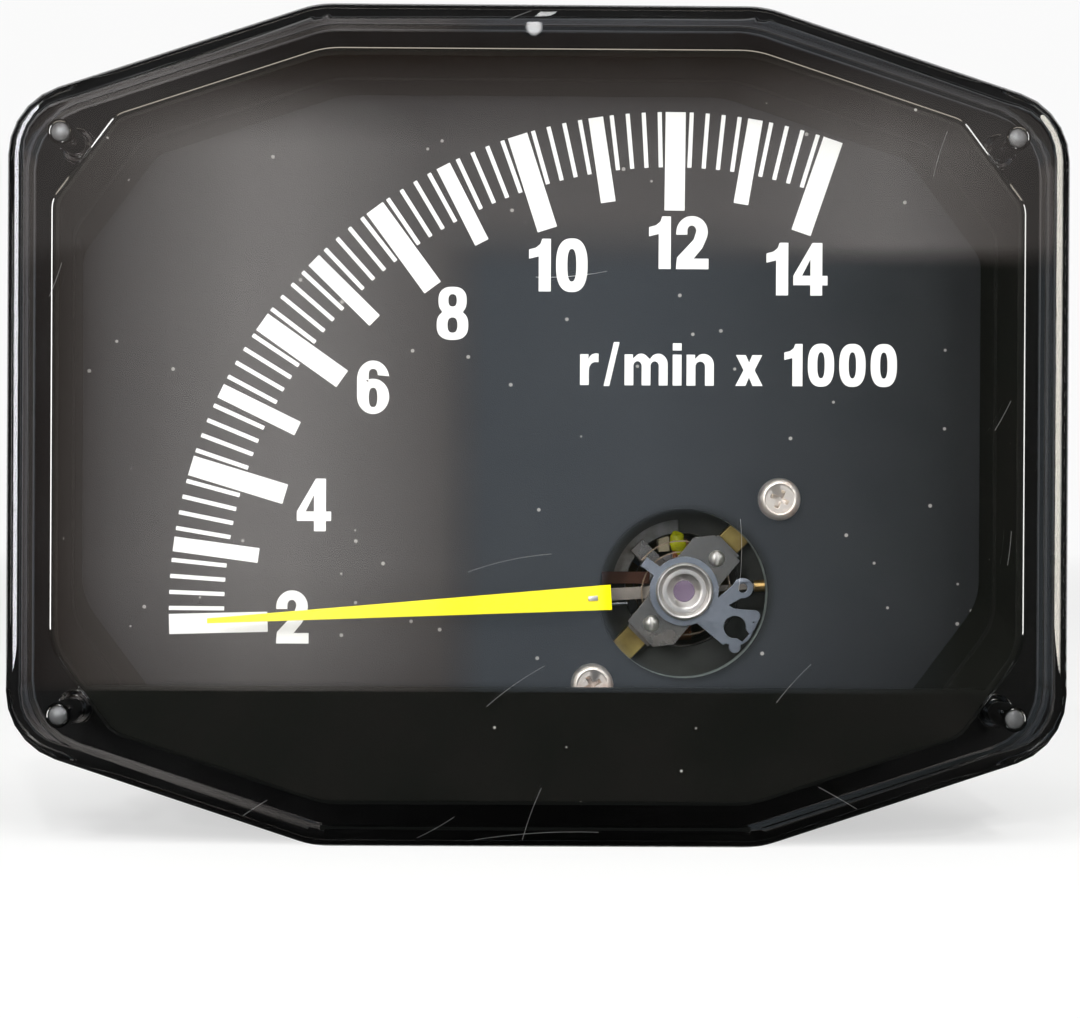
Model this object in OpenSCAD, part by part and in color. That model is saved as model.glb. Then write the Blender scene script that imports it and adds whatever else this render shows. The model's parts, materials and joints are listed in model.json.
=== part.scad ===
// Electronic tachometer with an eight-sided face, a moving-coil movement and rubber mountings.
// The face looks along -Y, +X is to its right and +Z is up. The origin is the middle of the
// whole instrument. A depth, written d, is measured back from the front of the window.

/* [Face] */
// Width of the face across its straight sides
face_w = 105; // [98:0.5:112]
// Height of the face across the flats at top and bottom
face_h = 83.3; // [80:0.1:88]
// Length of each flat at top and bottom, between its sharp corners
flat_w = 44.1; // [36:0.1:52]
// Length of each straight side, between its sharp corners
side_h = 63.2; // [60:0.1:66]
// Corner radius between a side and a slope
side_corner_r = 7.2; // [3:0.1:9]
// Corner radius between a slope and a flat
flat_corner_r = 10; // [4:0.1:14]

/* [Clear cover] */
// Thickness of the window
window_t = 3; // [2:0.1:4]
// Depth of the cover, from the window's front to its rear edge
cover_d = 21; // [19:0.1:24]
// Width of the clear wall round the pocket
border_w = 4.1; // [3.2:0.1:5]
// Radius of the outer front edge
edge_r = 2; // [0.6:0.1:2.8]
// How far each cover screw stands in from the side
screw_in_x = 5; // [4.2:0.1:6]
// How far each cover screw stands below the sharp corner of the side
screw_in_z = 2.7; // [1.8:0.1:4]
// Radius of the blind hole that a cover screw cuts into
tap_r = 1.25; // [1:0.05:1.5]
// Clear plastic between a screw hole and the pocket
post_wall = 2; // [1.4:0.1:3]
// Clear plastic in front of the blind screw holes
post_cap = 3.5; // [2:0.1:6]
// Radius of the wider mouth of a screw hole
mouth_r = 1.75; // [1.6:0.05:2]
// Depth of the wider mouth
mouth_d = 1.2; // [0.5:0.1:2]
// Direction that the pocket's cut-off corners face, above the horizontal
cut_a = 36.7; // [25:0.1:42]
// Corner radius of the pocket at its cut-off corners
pocket_corner_r = 3; // [1:0.1:5]
// Corner radius of the pocket where its lower cut-off corners meet the sides
pocket_low_r = 6.5; // [1:0.1:8]

/* [Case] */
// Thickness of the gasket between cover and case
gasket_t = 0.8; // [0.4:0.1:1.5]
// How far the gasket stands in from the cover's outside
gasket_in = 0.6; // [0.3:0.1:1]
// Depth of the case, from its flange to its back
case_d = 28.2; // [26:0.1:36]
// Thickness of the case's flange
flange_t = 3.2; // [2.4:0.1:4.5]
// How far the flange stands in from the cover's outside
flange_in = 0.3; // [0:0.05:1]
// Wall thickness of the case
wall_t = 2.2; // [1.6:0.1:3]
// Thickness of the case's back
back_t = 2.2; // [1.8:0.1:3]
// Radius of the case's back edge
back_r = 4; // [1:0.1:6]
// Radius of a cover screw's head
cover_head_r = 2.4; // [2:0.05:2.7]
// Height of a cover screw's head
cover_head_h = 1.8; // [1.2:0.1:2.6]
// Gap between the tip of a cover screw and the end of its blind hole
tip_gap = 0.5; // [0.3:0.1:4]
// Radius of the flat tip of a cover screw
cover_tip_r = 0.65; // [0.3:0.05:0.8]

/* [Mask] */
// Gap between the mask and the cover
mask_fit = 0.25; // [0.15:0.05:0.5]
// Thickness of the mask's outer wall
mask_wall = 1.4; // [1:0.1:2]
// Width of the mask's rim just behind the window
mask_rim = 0.7; // [0.4:0.1:1.2]
// How far the sight opening stands in from the pocket at the sides
sight_side = 2.85; // [2.2:0.05:4]
// How far it is off to the right of the pocket's middle
sight_dx = -0.6; // [-1:0.1:1]
// How far it stands in at the top
sight_top = 3.9; // [3.4:0.1:5]
// How far it stands in along the slopes
sight_slope = 4.4; // [3.4:0.1:5]
// How far it stands in at the cut-off corners
sight_cut = 5.2; // [4:0.1:6]
// Depth of the step in the mask's sloping wall, behind the window
mask_step_d = 4; // [2:0.1:5.5]
// Width of that step
mask_step_w = 0.35; // [0.1:0.05:0.8]
// Gap between the mask and the dial
mask_dial_gap = 0.3; // [0.2:0.05:0.6]
// Height of the chin that hides the foot of the dial, above the pocket's lower wall
chin_h = 11.6; // [6:0.1:12]
// Thickness of the chin
chin_t = 1.6; // [1:0.1:2.4]

/* [Dial] */
// Air gap between the window and the dial
dial_gap = 7.6; // [6.4:0.1:9]
// Thickness of the dial
dial_t = 1; // [0.6:0.1:1.6]
// The pivot's place to the right of the middle
pivot_x = 15.1; // [13:0.1:17]
// The pivot's place above the pocket's lower wall
pivot_z = 20.95; // [19.8:0.05:23.8]
// Radius of the opening round the pivot
dial_hole_r = 8.6; // [8.4:0.1:9.6]
// How far the opening is off to the right of the pivot
dial_hole_dx = -0.2; // [-0.4:0.05:0.4]
// How far the opening is off above the pivot
dial_hole_dz = -0.2; // [-0.4:0.05:0.4]
// Height of the rim behind the dial, round the opening
dial_rim_h = 1.8; // [0.6:0.1:2]
// Wall of that rim
dial_rim_w = 0.6; // [0.4:0.05:1]
// Distance of the dial screws from the pivot
dial_screw_at = 13.4; // [12.8:0.1:15]
// Direction of the bridge and of the dial screws
bridge_a = 45; // [42:1:48]
// Radius of a dial screw's head
dial_head_r = 2.15; // [1.8:0.05:2.5]
// Height of a dial screw's head
dial_head_h = 1.4; // [0.9:0.1:1.8]
// Radius of a dial screw's shank
dial_shank_r = 1; // [0.8:0.05:1.2]

/* [Scale] */
// The scale's centre to the right of the pivot
scale_dx = -1.6; // [-2:0.1:0]
// The scale's centre above the pivot
scale_dz = -2.1; // [-3:0.1:0]
// Outer radius of the scale
scale_r = 50.9; // [46:0.1:51]
// Direction of the first mark
first_a = 181.6; // [178:0.1:184]
// Thousands from the first mark to the last
thousands = 12; // [8:2:12]
// Angle for each thousand
thousand_a = 9.2; // [7:0.1:9.2]
// Short marks between two thousands
short_marks = 4; // [1:1:4]
// Length of a short mark
short_l = 5.6; // [3:0.1:7]
// Width of a short mark
short_w = 0.42; // [0.3:0.02:0.8]
// Length of an odd thousand's mark
odd_l = 8.7; // [6:0.1:10]
// Width of an odd thousand's mark
odd_w = 1.5; // [1:0.05:2.2]
// Length of an even thousand's mark
even_l = 10; // [7:0.1:12]
// Width of an even thousand's mark
even_w = 2.05; // [1.4:0.05:2.8]
// Thickness of the printed marks
print_t = 0.05; // [0.03:0.01:0.1]

/* [Pointer] */
// Distance of the pointer's tip from the pivot
pointer_l = 48.4; // [40:0.1:49]
// Distance of the pointer's blunt end from the pivot
pointer_start = 7.65; // [6.8:0.05:7.8]
// Width of the pointer at its blunt end
pointer_base_w = 2.55; // [1.4:0.05:3]
// Width of the pointer at its tip
pointer_tip_w = 0.5; // [0.2:0.05:1]
// Thickness of the pointer
pointer_t = 0.4; // [0.3:0.05:0.6]
// Angle that the resting pointer stands past the middle of the first mark
rest_over_a = 0.35; // [0:0.05:1]
// Height of the pointer above the dial
pointer_lift = 2.6; // [1.6:0.1:3.6]
// Width of the arm that carries the pointer
arm_w = 1.3; // [0.8:0.05:1.6]
// Thickness of that arm
arm_t = 0.4; // [0.3:0.05:0.5]
// Length of the arm's foot under the pointer
arm_foot_l = 3.4; // [3:0.1:5]
// Distance of the pointer's flat rivet from the pivot
rivet_at = 9.5; // [9:0.05:10.2]
// Length of the rivet's head, along the pointer
rivet_l = 0.95; // [0.6:0.05:1.2]
// Width of the rivet's head
rivet_w = 0.5; // [0.3:0.05:0.7]
// Height of the rivet's head
rivet_h = 0.15; // [0.1:0.05:0.3]
// Width of the arm's tail
tail_w = 0.65; // [0.4:0.05:0.8]
// Distance of the balance weight from the pivot
weight_at = 7.4; // [7.2:0.1:7.8]
// Radius of the balance weight
weight_r = 1.2; // [0.9:0.05:1.3]
// Length of the balance weight's neck
weight_neck_l = 1.4; // [0.8:0.1:2]
// Radius of the balance weight's neck
weight_neck_r = 0.6; // [0.45:0.05:0.8]

/* [Movement] */
// Height of the dial above the soft-iron ring
ring_drop = 6.4; // [6.2:0.1:8]
// Radius of the core magnet
core_r = 3.9; // [3.4:0.1:4.2]
// Gap between the core magnet and the coil former
core_gap = 0.35; // [0.2:0.05:0.5]
// Thickness of the coil former
former_t = 0.35; // [0.2:0.05:0.5]
// Thickness of the winding on the former
winding_t = 0.7; // [0.4:0.05:0.8]
// Width of the winding
winding_w = 1.6; // [1:0.1:2]
// Gap between the winding and the soft-iron ring
ring_gap = 0.45; // [0.4:0.05:0.7]
// Wall of the soft-iron ring
ring_wall = 1.6; // [1.4:0.05:1.8]
// Length of the soft-iron ring and of the core magnet
ring_l = 11; // [9:0.1:12]
// Thickness of the straps that hold the core magnet
strap_t = 0.5; // [0.3:0.05:0.7]
// Width of those straps
strap_w = 1.8; // [1.4:0.1:2.4]
// Gap between a strap and the coil
strap_gap = 0.3; // [0.2:0.05:0.5]
// Thickness of the bridge plate
bridge_t = 0.7; // [0.5:0.05:0.9]
// Radius of the bridge plate round its jewel screw
bridge_hub_r = 3.3; // [3:0.1:3.5]
// Width of the bridge at its root
bridge_root_w = 5.8; // [5:0.1:6]
// Width of the bridge at its ends
bridge_end_w = 3.75; // [2.8:0.05:4]
// Half the length of the bridge
bridge_l = 6.3; // [6.2:0.05:6.5]
// Distance from the pivot to the wide corner of each end of the bridge
bridge_corner_at = 4.6; // [4:0.1:5.4]
// How far that corner stands out from the bridge's middle line
bridge_corner_w = 3.2; // [2.6:0.1:3.4]
// Distance of the bridge screws from the pivot
bridge_screw_at = 4.75; // [4.7:0.05:5]
// Radius of a bridge screw's head
bridge_head_r = 0.85; // [0.6:0.05:0.95]
// Radius of a bridge screw's shank
bridge_shank_r = 0.5; // [0.3:0.05:0.55]
// Width of a bridge screw's slot
bridge_slot_w = 0.3; // [0.2:0.05:0.4]
// Thickness of the sheet that the feet are bent from
foot_t = 0.6; // [0.4:0.05:0.7]
// Width of the feet
foot_w = 3; // [2.4:0.1:3.2]
// Radius of the jewel screw
jewel_screw_r = 2.25; // [2:0.05:2.4]
// Radius of the lock nut
nut_r = 2.95; // [2.8:0.05:3.1]
// Depth of the dish in the lock nut's front
dish_d = 0.35; // [0.2:0.05:0.45]
// Radius of the jewel
jewel_r = 1.1; // [0.8:0.05:1.3]
// Thickness of the jewel
jewel_t = 1; // [0.7:0.1:1.1]
// Radius of a pivot's tip
tip_r = 0.16; // [0.12:0.01:0.2]
// Radius of the staff that carries the coil
staff_r = 0.4; // [0.35:0.05:0.5]
// Turns of each hairspring
spring_turns = 4; // [3:1:4]
// Thickness of the hairspring's strip
spring_t = 0.12; // [0.08:0.01:0.14]
// Height of the hairspring's strip
spring_h = 0.3; // [0.2:0.05:0.35]
// Thickness of the zero lever
lever_t = 0.4; // [0.3:0.05:0.5]
// Width of the zero lever's ring
lever_ring_w = 1.25; // [1:0.05:1.4]
// Direction of the tab that holds the hairspring's outer end
tab_a = 144; // [140:1:150]
// Wall of the black frame outside the soft-iron ring
frame_wall = 4.15; // [3.6:0.05:4.4]
// Thickness of the frame's front
frame_t = 1.4; // [1:0.1:1.5]
// First direction of the frame's cut-away, where the soft-iron ring shows
window_from_a = 93; // [90:1:100]
// Last direction of that cut-away
window_to_a = 168; // [160:1:170]
// Width of the brass bars that carry the dial
bar_w = 2.6; // [2:0.1:3]
// Height of those bars above the soft-iron ring
bar_h = 2.6; // [2:0.1:2.8]
// Radius of the posts that carry the dial
post_r = 2.3; // [1.9:0.1:2.6]
// Distance of the movement's fixing screws from the pivot
base_screw_at = 17.5; // [17:0.1:18.5]
// Thickness of the movement's base
base_t = 2; // [1.5:0.1:2.5]
// Gap between the resting coil and the block beside it
stop_gap = 0.15; // [0.1:0.05:0.3]
// Width of that block
stop_w = 1.2; // [0.8:0.1:1.3]
// Radius of the wire that the resting arm leans on
stop_wire_r = 0.2; // [0.15:0.01:0.25]
// Width of the brown strip beside the resting arm
strip_w = 1.25; // [0.8:0.05:1.4]
// Thickness of that strip
strip_t = 0.3; // [0.2:0.05:0.35]
// Distance from the strip's inner end to the pivot
strip_from = 3.4; // [3.3:0.1:4]

/* [Electronics] */
// Width of the circuit board
board_w = 76; // [74:0.5:78]
// Height of the circuit board
board_h = 50; // [48:0.5:52]
// Thickness of the circuit board
board_t = 1.6; // [1:0.1:2]
// Gap between the circuit board and the case's back
board_back_gap = 6.2; // [5.6:0.1:6.4]
// The board's middle to the right of the instrument's middle
board_x = -3; // [-4:0.1:-2]
// The board's middle above the instrument's middle
board_z = 1; // [0:0.1:2]
// How far the board's screws stand in from its corners
board_screw_in = 4; // [3.5:0.1:5]
// The calibration trimmer's place to the right of the middle
trimmer_x = -31; // [-32:0.5:-29]
// The calibration trimmer's place above the middle
trimmer_z = -13; // [-13.5:0.5:-12.5]
// Radius of the calibration trimmer
trimmer_r = 4.5; // [4:0.1:5]
// Radius of the hole behind the trimmer
plug_r = 3; // [2.5:0.1:3.5]
// Width of a terminal blade
blade_w = 6.3; // [4.8:0.1:6.3]
// Thickness of a terminal blade
blade_t = 0.8; // [0.5:0.1:1]
// Distance between neighbouring terminal blades
blade_pitch = 9; // [8.5:0.1:10]
// Number of terminal blades
blades = 3; // [2:1:3]
// Height of the terminal blades' row above the middle
blade_z = 20; // [19:0.5:21]
// Length of each terminal blade outside its block
blade_l = 8; // [6:0.5:9]
// Thickness of the terminal block outside the case
block_t = 4; // [3:0.1:5]

/* [Mounting] */
// Distance between the two mounting studs
stud_pitch = 54; // [50:0.5:58]
// Radius of a mounting stud
stud_r = 2.5; // [2:0.5:3]
// Radius of the stud's inner end, which screws into its insert
inner_stud_r = 2; // [1.5:0.1:2.2]
// Length of a mounting stud outside its rubber
stud_l = 12; // [10:0.5:16]
// Radius of each rubber mounting
rubber_r = 7.5; // [6.5:0.5:8.5]
// Length of each rubber mounting with its two end plates
rubber_l = 8; // [7:0.5:12]
// Thickness of the steel plates at both ends of a rubber mounting
plate_t = 1.2; // [0.8:0.1:1.6]
// Wall of the brass insert round each stud
insert_wall = 2; // [1:0.1:2.4]
// Depth of the brass inserts in the case
insert_d = 5.4; // [4.5:0.1:5.5]

/* [Hidden] */

// Facets of round pieces, and straight steps in each rounded corner of an outline
$fn = 64;
corner_steps = 5;
edge_step = 15;
least_r = 0.4;
hair = 0.01;

// Working gaps
fit = 0.05;
free_gap = 0.3;

// Depths from the window's front
d_flange = cover_d + gasket_t;
d_back = d_flange + case_d;
d_floor = d_back - back_t;
d_dial = window_t + dial_gap;
d_dial_back = d_dial + dial_t;
d_ring = d_dial_back + ring_drop;
d_ring_end = d_ring + ring_l;
d_strap = d_ring - strap_t;
d_frame = d_ring - frame_t;
d_bar = d_ring - bar_h;
d_former = d_strap - strap_gap - former_t;
d_coil = d_former - winding_t;
d_board_back = d_floor - board_back_gap;
d_board = d_board_back - board_t;
d_rubber_end = d_back + rubber_l;
total_d = d_rubber_end + stud_l;
front_y = -total_d / 2;

// Depths of the pieces between the coil and the bridge, from the coil forwards
staff_foot_t = 0.3;
staff_foot_r = 0.9;
d_arm_back = d_coil - staff_foot_t - 2 * free_gap;
d_arm = d_arm_back - arm_t;
d_spring_back = d_arm - free_gap;
d_spring = d_spring_back - spring_h;
d_bridge_back = d_spring - 0.1 - foot_t;
d_bridge = d_bridge_back - bridge_t;
boss_t = 0.3;
d_lever_back = d_bridge - boss_t;
d_lever = d_lever_back - lever_t;
nut_t = 0.6;
d_nut = d_lever - nut_t;
d_jewel_screw = d_nut + dish_d;
d_jewel_screw_back = d_bridge_back + foot_t - 0.1;
cup_d = 0.6;
d_jewel = d_jewel_screw + cup_d;
pivot_l = 0.5;
d_strip = d_arm_back + 0.2;

// Outlines, each a list of edges: the direction an edge faces and its distance from the middle
slope_a = 90 - atan((face_h - side_h) / (face_w - flat_w));
slope_p = face_w / 2 * cos(slope_a) + side_h / 2 * sin(slope_a);
screw_x = face_w / 2 - screw_in_x;
screw_z = side_h / 2 - screw_in_z;
cut_p = screw_x * cos(cut_a) + screw_z * sin(cut_a) - tap_r - post_wall;
pocket_x = face_w / 2 - border_w;
pocket_z = face_h / 2 - border_w;
axis_z = pivot_z - pocket_z;

function mirrored_edges(quarter) = [
    for (e = quarter) e,
    for (i = [len(quarter) - 2 : -1 : 0]) [180 - quarter[i][0], quarter[i][1]],
    for (i = [1 : len(quarter) - 1]) [180 + quarter[i][0], quarter[i][1]],
    for (i = [len(quarter) - 2 : -1 : 1]) [360 - quarter[i][0], quarter[i][1]]
];

face_edges = mirrored_edges([[0, face_w / 2], [slope_a, slope_p], [90, face_h / 2]]);
pocket_edges = mirrored_edges([
    [0, pocket_x], [cut_a, cut_p], [slope_a, slope_p - border_w], [90, pocket_z]
]);
sight_edges = mirrored_edges([
    [0, pocket_x - sight_side], [cut_a, cut_p - sight_cut],
    [slope_a, slope_p - border_w - sight_slope], [90, pocket_z - sight_top]
]);
face_radii = [side_corner_r, flat_corner_r, flat_corner_r, side_corner_r,
    side_corner_r, flat_corner_r, flat_corner_r, side_corner_r];
pocket_radii = [pocket_corner_r, pocket_corner_r, flat_corner_r, flat_corner_r,
    pocket_corner_r, pocket_corner_r, pocket_low_r, pocket_corner_r, flat_corner_r,
    flat_corner_r, pocket_corner_r, pocket_low_r];

function meet(a, b) = [
    a[1] * sin(b[0]) - b[1] * sin(a[0]), b[1] * cos(a[0]) - a[1] * cos(b[0])
] / sin(b[0] - a[0]);

// The outline inside some edges, moved in by t, with its corners rounded
function outline(edges, radii, t = 0) = [
    for (i = [0 : len(edges) - 1])
        let (
            a = edges[i],
            b = edges[(i + 1) % len(edges)],
            turn = (b[0] - a[0] + 360) % 360,
            r = max(radii[i] - t, least_r),
            middle = meet([a[0], a[1] - t - r], [b[0], b[1] - t - r])
        )
        for (j = [0 : corner_steps])
            middle + r * [cos(a[0] + turn * j / corner_steps), sin(a[0] + turn * j / corner_steps)]
];

function moved(points, x) = [for (p = points) [p[0] + x, p[1]]];

module face_shape(t = 0) {
    polygon(outline(face_edges, face_radii, t));
}

module pocket_shape(t = 0) {
    polygon(outline(pocket_edges, pocket_radii, t));
}

// A solid through several outlines with the same number of points, each as [depth, outline]
module loft(rings) {
    n = len(rings[0][1]);
    last = len(rings) - 1;
    polyhedron(
        points = [for (ring = rings) for (p = ring[1]) [p[0], front_y + ring[0], p[1]]],
        faces = concat(
            [[for (j = [n - 1 : -1 : 0]) j], [for (j = [0 : n - 1]) last * n + j]],
            [for (i = [0 : last - 1], j = [0 : n - 1]) [i * n + j, i * n + (j + 1) % n, (i + 1) * n + (j + 1) % n]],
            [for (i = [0 : last - 1], j = [0 : n - 1]) [i * n + j, (i + 1) * n + (j + 1) % n, (i + 1) * n + j]]
        )
    );
}

// A flat sketch seen from the front, filled from depth d0 to depth d1
module slab(d0, d1) {
    translate([0, front_y + d1, 0])
        rotate([90, 0, 0])
            linear_extrude(d1 - d0)
                children();
}

module rod(x, z, d0, d1, r) {
    translate([x, front_y + d1, z])
        rotate([90, 0, 0])
            cylinder(h = d1 - d0, r = r);
}

// A round piece that widens or narrows from radius r0 at depth d0 to r1 at depth d1
module taper(x, z, d0, d1, r0, r1) {
    translate([x, front_y + d1, z])
        rotate([90, 0, 0])
            cylinder(h = d1 - d0, r1 = r1, r2 = r0);
}

// A domed head that stands forward of depth d
module dome(x, z, d, r, h) {
    ball_r = (r * r + h * h) / (2 * h);
    intersection() {
        rod(x, z, d - h, d, r);
        translate([x, front_y + d - h + ball_r, z])
            sphere(r = ball_r);
    }
}

module box_between(low, high) {
    translate([low[0], front_y + low[1], low[2]])
        cube([high[0] - low[0], high[1] - low[1], high[2] - low[2]]);
}

// The same sketch turned about the pivot
module on_pivot(a = 0) {
    translate([pivot_x, axis_z])
        rotate(a)
            children();
}

module bar(u0, u1, w) {
    translate([u0, -w / 2])
        square([u1 - u0, w]);
}

module round_bar(w, h, r) {
    square([w - 2 * r, h], center = true);
    square([w, h - 2 * r], center = true);
    for (x = [-1, 1], y = [-1, 1])
        translate([x * (w / 2 - r), y * (h / 2 - r)])
            circle(r = r);
}

function from_pivot(r, a) = [pivot_x + r * cos(a), axis_z + r * sin(a)];

// The movement's rear half mirrors its front half
module front_and_rear() {
    children();
    rear_side()
        children();
}

module rear_side() {
    translate([0, 2 * front_y + d_ring + d_ring_end, 0])
        mirror([0, 1, 0])
            children();
}

module at_cover_screws() {
    for (x = [-screw_x, screw_x], z = [-screw_z, screw_z])
        translate([x, 0, z])
            children();
}

/* The cover, its gasket and its screws */

module cover() {
    hole_end = post_cap + tap_r / 3;
    color([0.78, 0.82, 0.8, 0.35])
        difference() {
            loft([
                for (a = [90 : -edge_step : 0])
                    [edge_r * (1 - sin(a)), outline(face_edges, face_radii, edge_r * (1 - cos(a)))],
                [cover_d, outline(face_edges, face_radii)]
            ]);
            slab(window_t, cover_d + 1)
                pocket_shape();
            at_cover_screws() {
                rod(0, 0, hole_end, cover_d + 1, tap_r);
                taper(0, 0, post_cap, hole_end, tap_r * 2 / 3, tap_r);
                rod(0, 0, cover_d - mouth_d, cover_d + 1, mouth_r);
            }
        }
}

module gasket() {
    color([0.12, 0.12, 0.12])
        difference() {
            slab(cover_d, d_flange)
                difference() {
                    face_shape(gasket_in);
                    pocket_shape(-mask_fit);
                }
            at_cover_screws()
                rod(0, 0, cover_d - 1, d_flange + 1, mouth_r);
        }
}

module cover_screws() {
    d_head = d_flange + flange_t;
    d_tip = post_cap + tip_gap;
    slot_w = 0.8;
    color("silver")
        at_cover_screws()
            difference() {
                union() {
                    rod(0, 0, d_tip + tap_r / 2, d_head, tap_r - fit);
                    taper(0, 0, d_tip, d_tip + tap_r / 2, cover_tip_r, tap_r - fit);
                    taper(0, 0, d_head, d_head + cover_head_h, cover_head_r, cover_head_r * 0.8);
                }
                for (a = [0, 90])
                    slab(d_head + cover_head_h / 2, d_head + cover_head_h + 1)
                        rotate(a)
                            square([1.3 * cover_head_r, slot_w], center = true);
            }
}

/* The case */

function board_screw_places() = [
    for (x = [-1, 1], z = [-1, 1])
        [board_x + x * (board_w / 2 - board_screw_in), board_z + z * (board_h / 2 - board_screw_in)]
];
function base_screw_places() = [
    for (s = [90, 270]) from_pivot(base_screw_at, bridge_a + s)
];
base_post_r = 3.2;
base_tap_r = 1.25;
board_post_r = 2.6;
board_tap_r = 1;
insert_r = inner_stud_r + insert_wall;
d_base_end = d_ring_end + base_t;
blade_xs = [for (i = [0 : blades - 1]) (i - (blades - 1) / 2) * blade_pitch];

module case() {
    color([0.09, 0.09, 0.1])
        difference() {
            union() {
                difference() {
                    union() {
                        slab(d_flange, d_flange + flange_t)
                            face_shape(flange_in);
                        loft([
                            [d_flange, outline(pocket_edges, pocket_radii)],
                            for (a = [0 : edge_step : 90])
                                [d_back - back_r * (1 - sin(a)),
                                    outline(pocket_edges, pocket_radii, back_r * (1 - cos(a)))]
                        ]);
                    }
                    slab(d_flange - 1, d_floor)
                        pocket_shape(wall_t);
                }
                for (p = base_screw_places())
                    rod(p[0], p[1], d_base_end, d_floor + hair, base_post_r);
                for (p = board_screw_places())
                    rod(p[0], p[1], d_board_back, d_floor + hair, board_post_r);
                for (x = [-1, 1])
                    rod(x * stud_pitch / 2, 0, d_back - insert_d - 1, d_floor + hair, insert_r + wall_t);
            }
            at_cover_screws()
                rod(0, 0, d_flange - 1, d_flange + flange_t + 1, tap_r + 0.3);
            for (p = base_screw_places())
                rod(p[0], p[1], d_base_end - 1, d_floor - 1, base_tap_r);
            for (p = board_screw_places())
                rod(p[0], p[1], d_board_back - 1, d_floor, board_tap_r);
            for (x = [-1, 1])
                rod(x * stud_pitch / 2, 0, d_back - insert_d, d_back + 1, insert_r);
            rod(trimmer_x, trimmer_z, d_floor - 1, d_back + 1, plug_r);
            for (x = blade_xs)
                box_between([x - blade_w / 2 - fit, d_floor - 1, blade_z - blade_t / 2 - fit],
                    [x + blade_w / 2 + fit, d_back + 1, blade_z + blade_t / 2 + fit]);
        }
}

/* The mask between window and dial */

module mask() {
    d_rim = window_t + mask_fit;
    d_step = window_t + mask_step_d;
    d_sight = d_dial - mask_dial_gap;
    share = (d_step - d_rim) / (d_sight - d_rim);
    // Edges between the rim's and the sight opening's, at the step's depth
    rim_t = mask_fit + mask_rim;
    step_edges = [
        for (i = [0 : len(pocket_edges) - 1])
            [pocket_edges[i][0], (pocket_edges[i][1] - rim_t) * (1 - share) + sight_edges[i][1] * share]
    ];
    chin_z = -pocket_z + chin_h;
    color([0.07, 0.07, 0.07]) {
        difference() {
            slab(d_rim, d_flange)
                pocket_shape(mask_fit);
            loft([
                [d_rim - 1, outline(pocket_edges, pocket_radii, rim_t)],
                [d_rim, outline(pocket_edges, pocket_radii, rim_t)],
                [d_step, moved(outline(step_edges, pocket_radii), share * sight_dx)]
            ]);
            loft([
                [d_step - hair, moved(outline(step_edges, pocket_radii, mask_step_w), share * sight_dx)],
                [d_step, moved(outline(step_edges, pocket_radii, mask_step_w), share * sight_dx)],
                [d_sight, moved(outline(sight_edges, pocket_radii), sight_dx)],
                [d_sight + 1, moved(outline(sight_edges, pocket_radii), sight_dx)]
            ]);
            slab(d_sight, d_flange + 1)
                pocket_shape(mask_fit + mask_wall);
        }
        slab(d_rim, d_rim + chin_t)
            intersection() {
                pocket_shape(mask_fit);
                translate([-face_w, -face_h])
                    square([2 * face_w, face_h + chin_z]);
            }
    }
}

/* The dial */

scale_x = pivot_x + scale_dx;
scale_z = axis_z + scale_dz;
dial_screw_places = [for (s = [0, 180]) from_pivot(dial_screw_at, bridge_a + s)];

module dial_outline() {
    pocket_shape(mask_fit + mask_wall + free_gap);
}

module dial() {
    color([0.13, 0.14, 0.15]) {
        slab(d_dial, d_dial_back)
            difference() {
                dial_outline();
                on_pivot()
                    translate([dial_hole_dx, dial_hole_dz])
                        circle(r = dial_hole_r);
                for (p = dial_screw_places)
                    translate(p)
                        circle(r = dial_shank_r + fit);
            }
        slab(d_dial_back, d_dial_back + dial_rim_h)
            on_pivot()
                translate([dial_hole_dx, dial_hole_dz])
                    difference() {
                        circle(r = dial_hole_r + dial_rim_w);
                        circle(r = dial_hole_r);
                    }
    }
}

module scale_mark(a, l, w) {
    translate([scale_x, scale_z])
        rotate(a)
            bar(scale_r - l, scale_r, w);
}

// The marks are printed on the dial, so they end where the dial ends
module scale_marks() {
    color("white")
        slab(d_dial - print_t, d_dial)
            intersection() {
                dial_outline();
                for (i = [0 : thousands]) {
                    a = first_a - i * thousand_a;
                    scale_mark(a, i % 2 == 0 ? even_l : odd_l, i % 2 == 0 ? even_w : odd_w);
                    if (i < thousands)
                        for (j = [1 : short_marks])
                            scale_mark(a - j * thousand_a / (short_marks + 1), short_l, short_w);
                }
            }
}

dial_screw_l = 4;

module dial_screws() {
    recess_w = 0.45;
    color([0.75, 0.72, 0.66])
        for (p = dial_screw_places) {
            difference() {
                dome(p[0], p[1], d_dial, dial_head_r, dial_head_h);
                for (a = [20, 110])
                    slab(d_dial - dial_head_h - 1, d_dial - dial_head_h / 2)
                        translate(p)
                            rotate(a)
                                square([1.2 * dial_head_r, recess_w], center = true);
            }
            rod(p[0], p[1], d_dial, d_dial + dial_screw_l, dial_shank_r);
        }
}

/* The pointer and what turns with it */

// At rest the pointer's tip lies on the scale's first mark, a little above the mark's middle
rest_mark_a = first_a - rest_over_a;
rest_point = [scale_dx + pointer_l * cos(rest_mark_a), scale_dz + pointer_l * sin(rest_mark_a)];
rest_a = (atan2(rest_point[1], rest_point[0]) + 360) % 360;
d_pointer_back = d_dial - pointer_lift;
d_pointer = d_pointer_back - pointer_t;
riser_at = pointer_start + 0.05;

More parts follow.
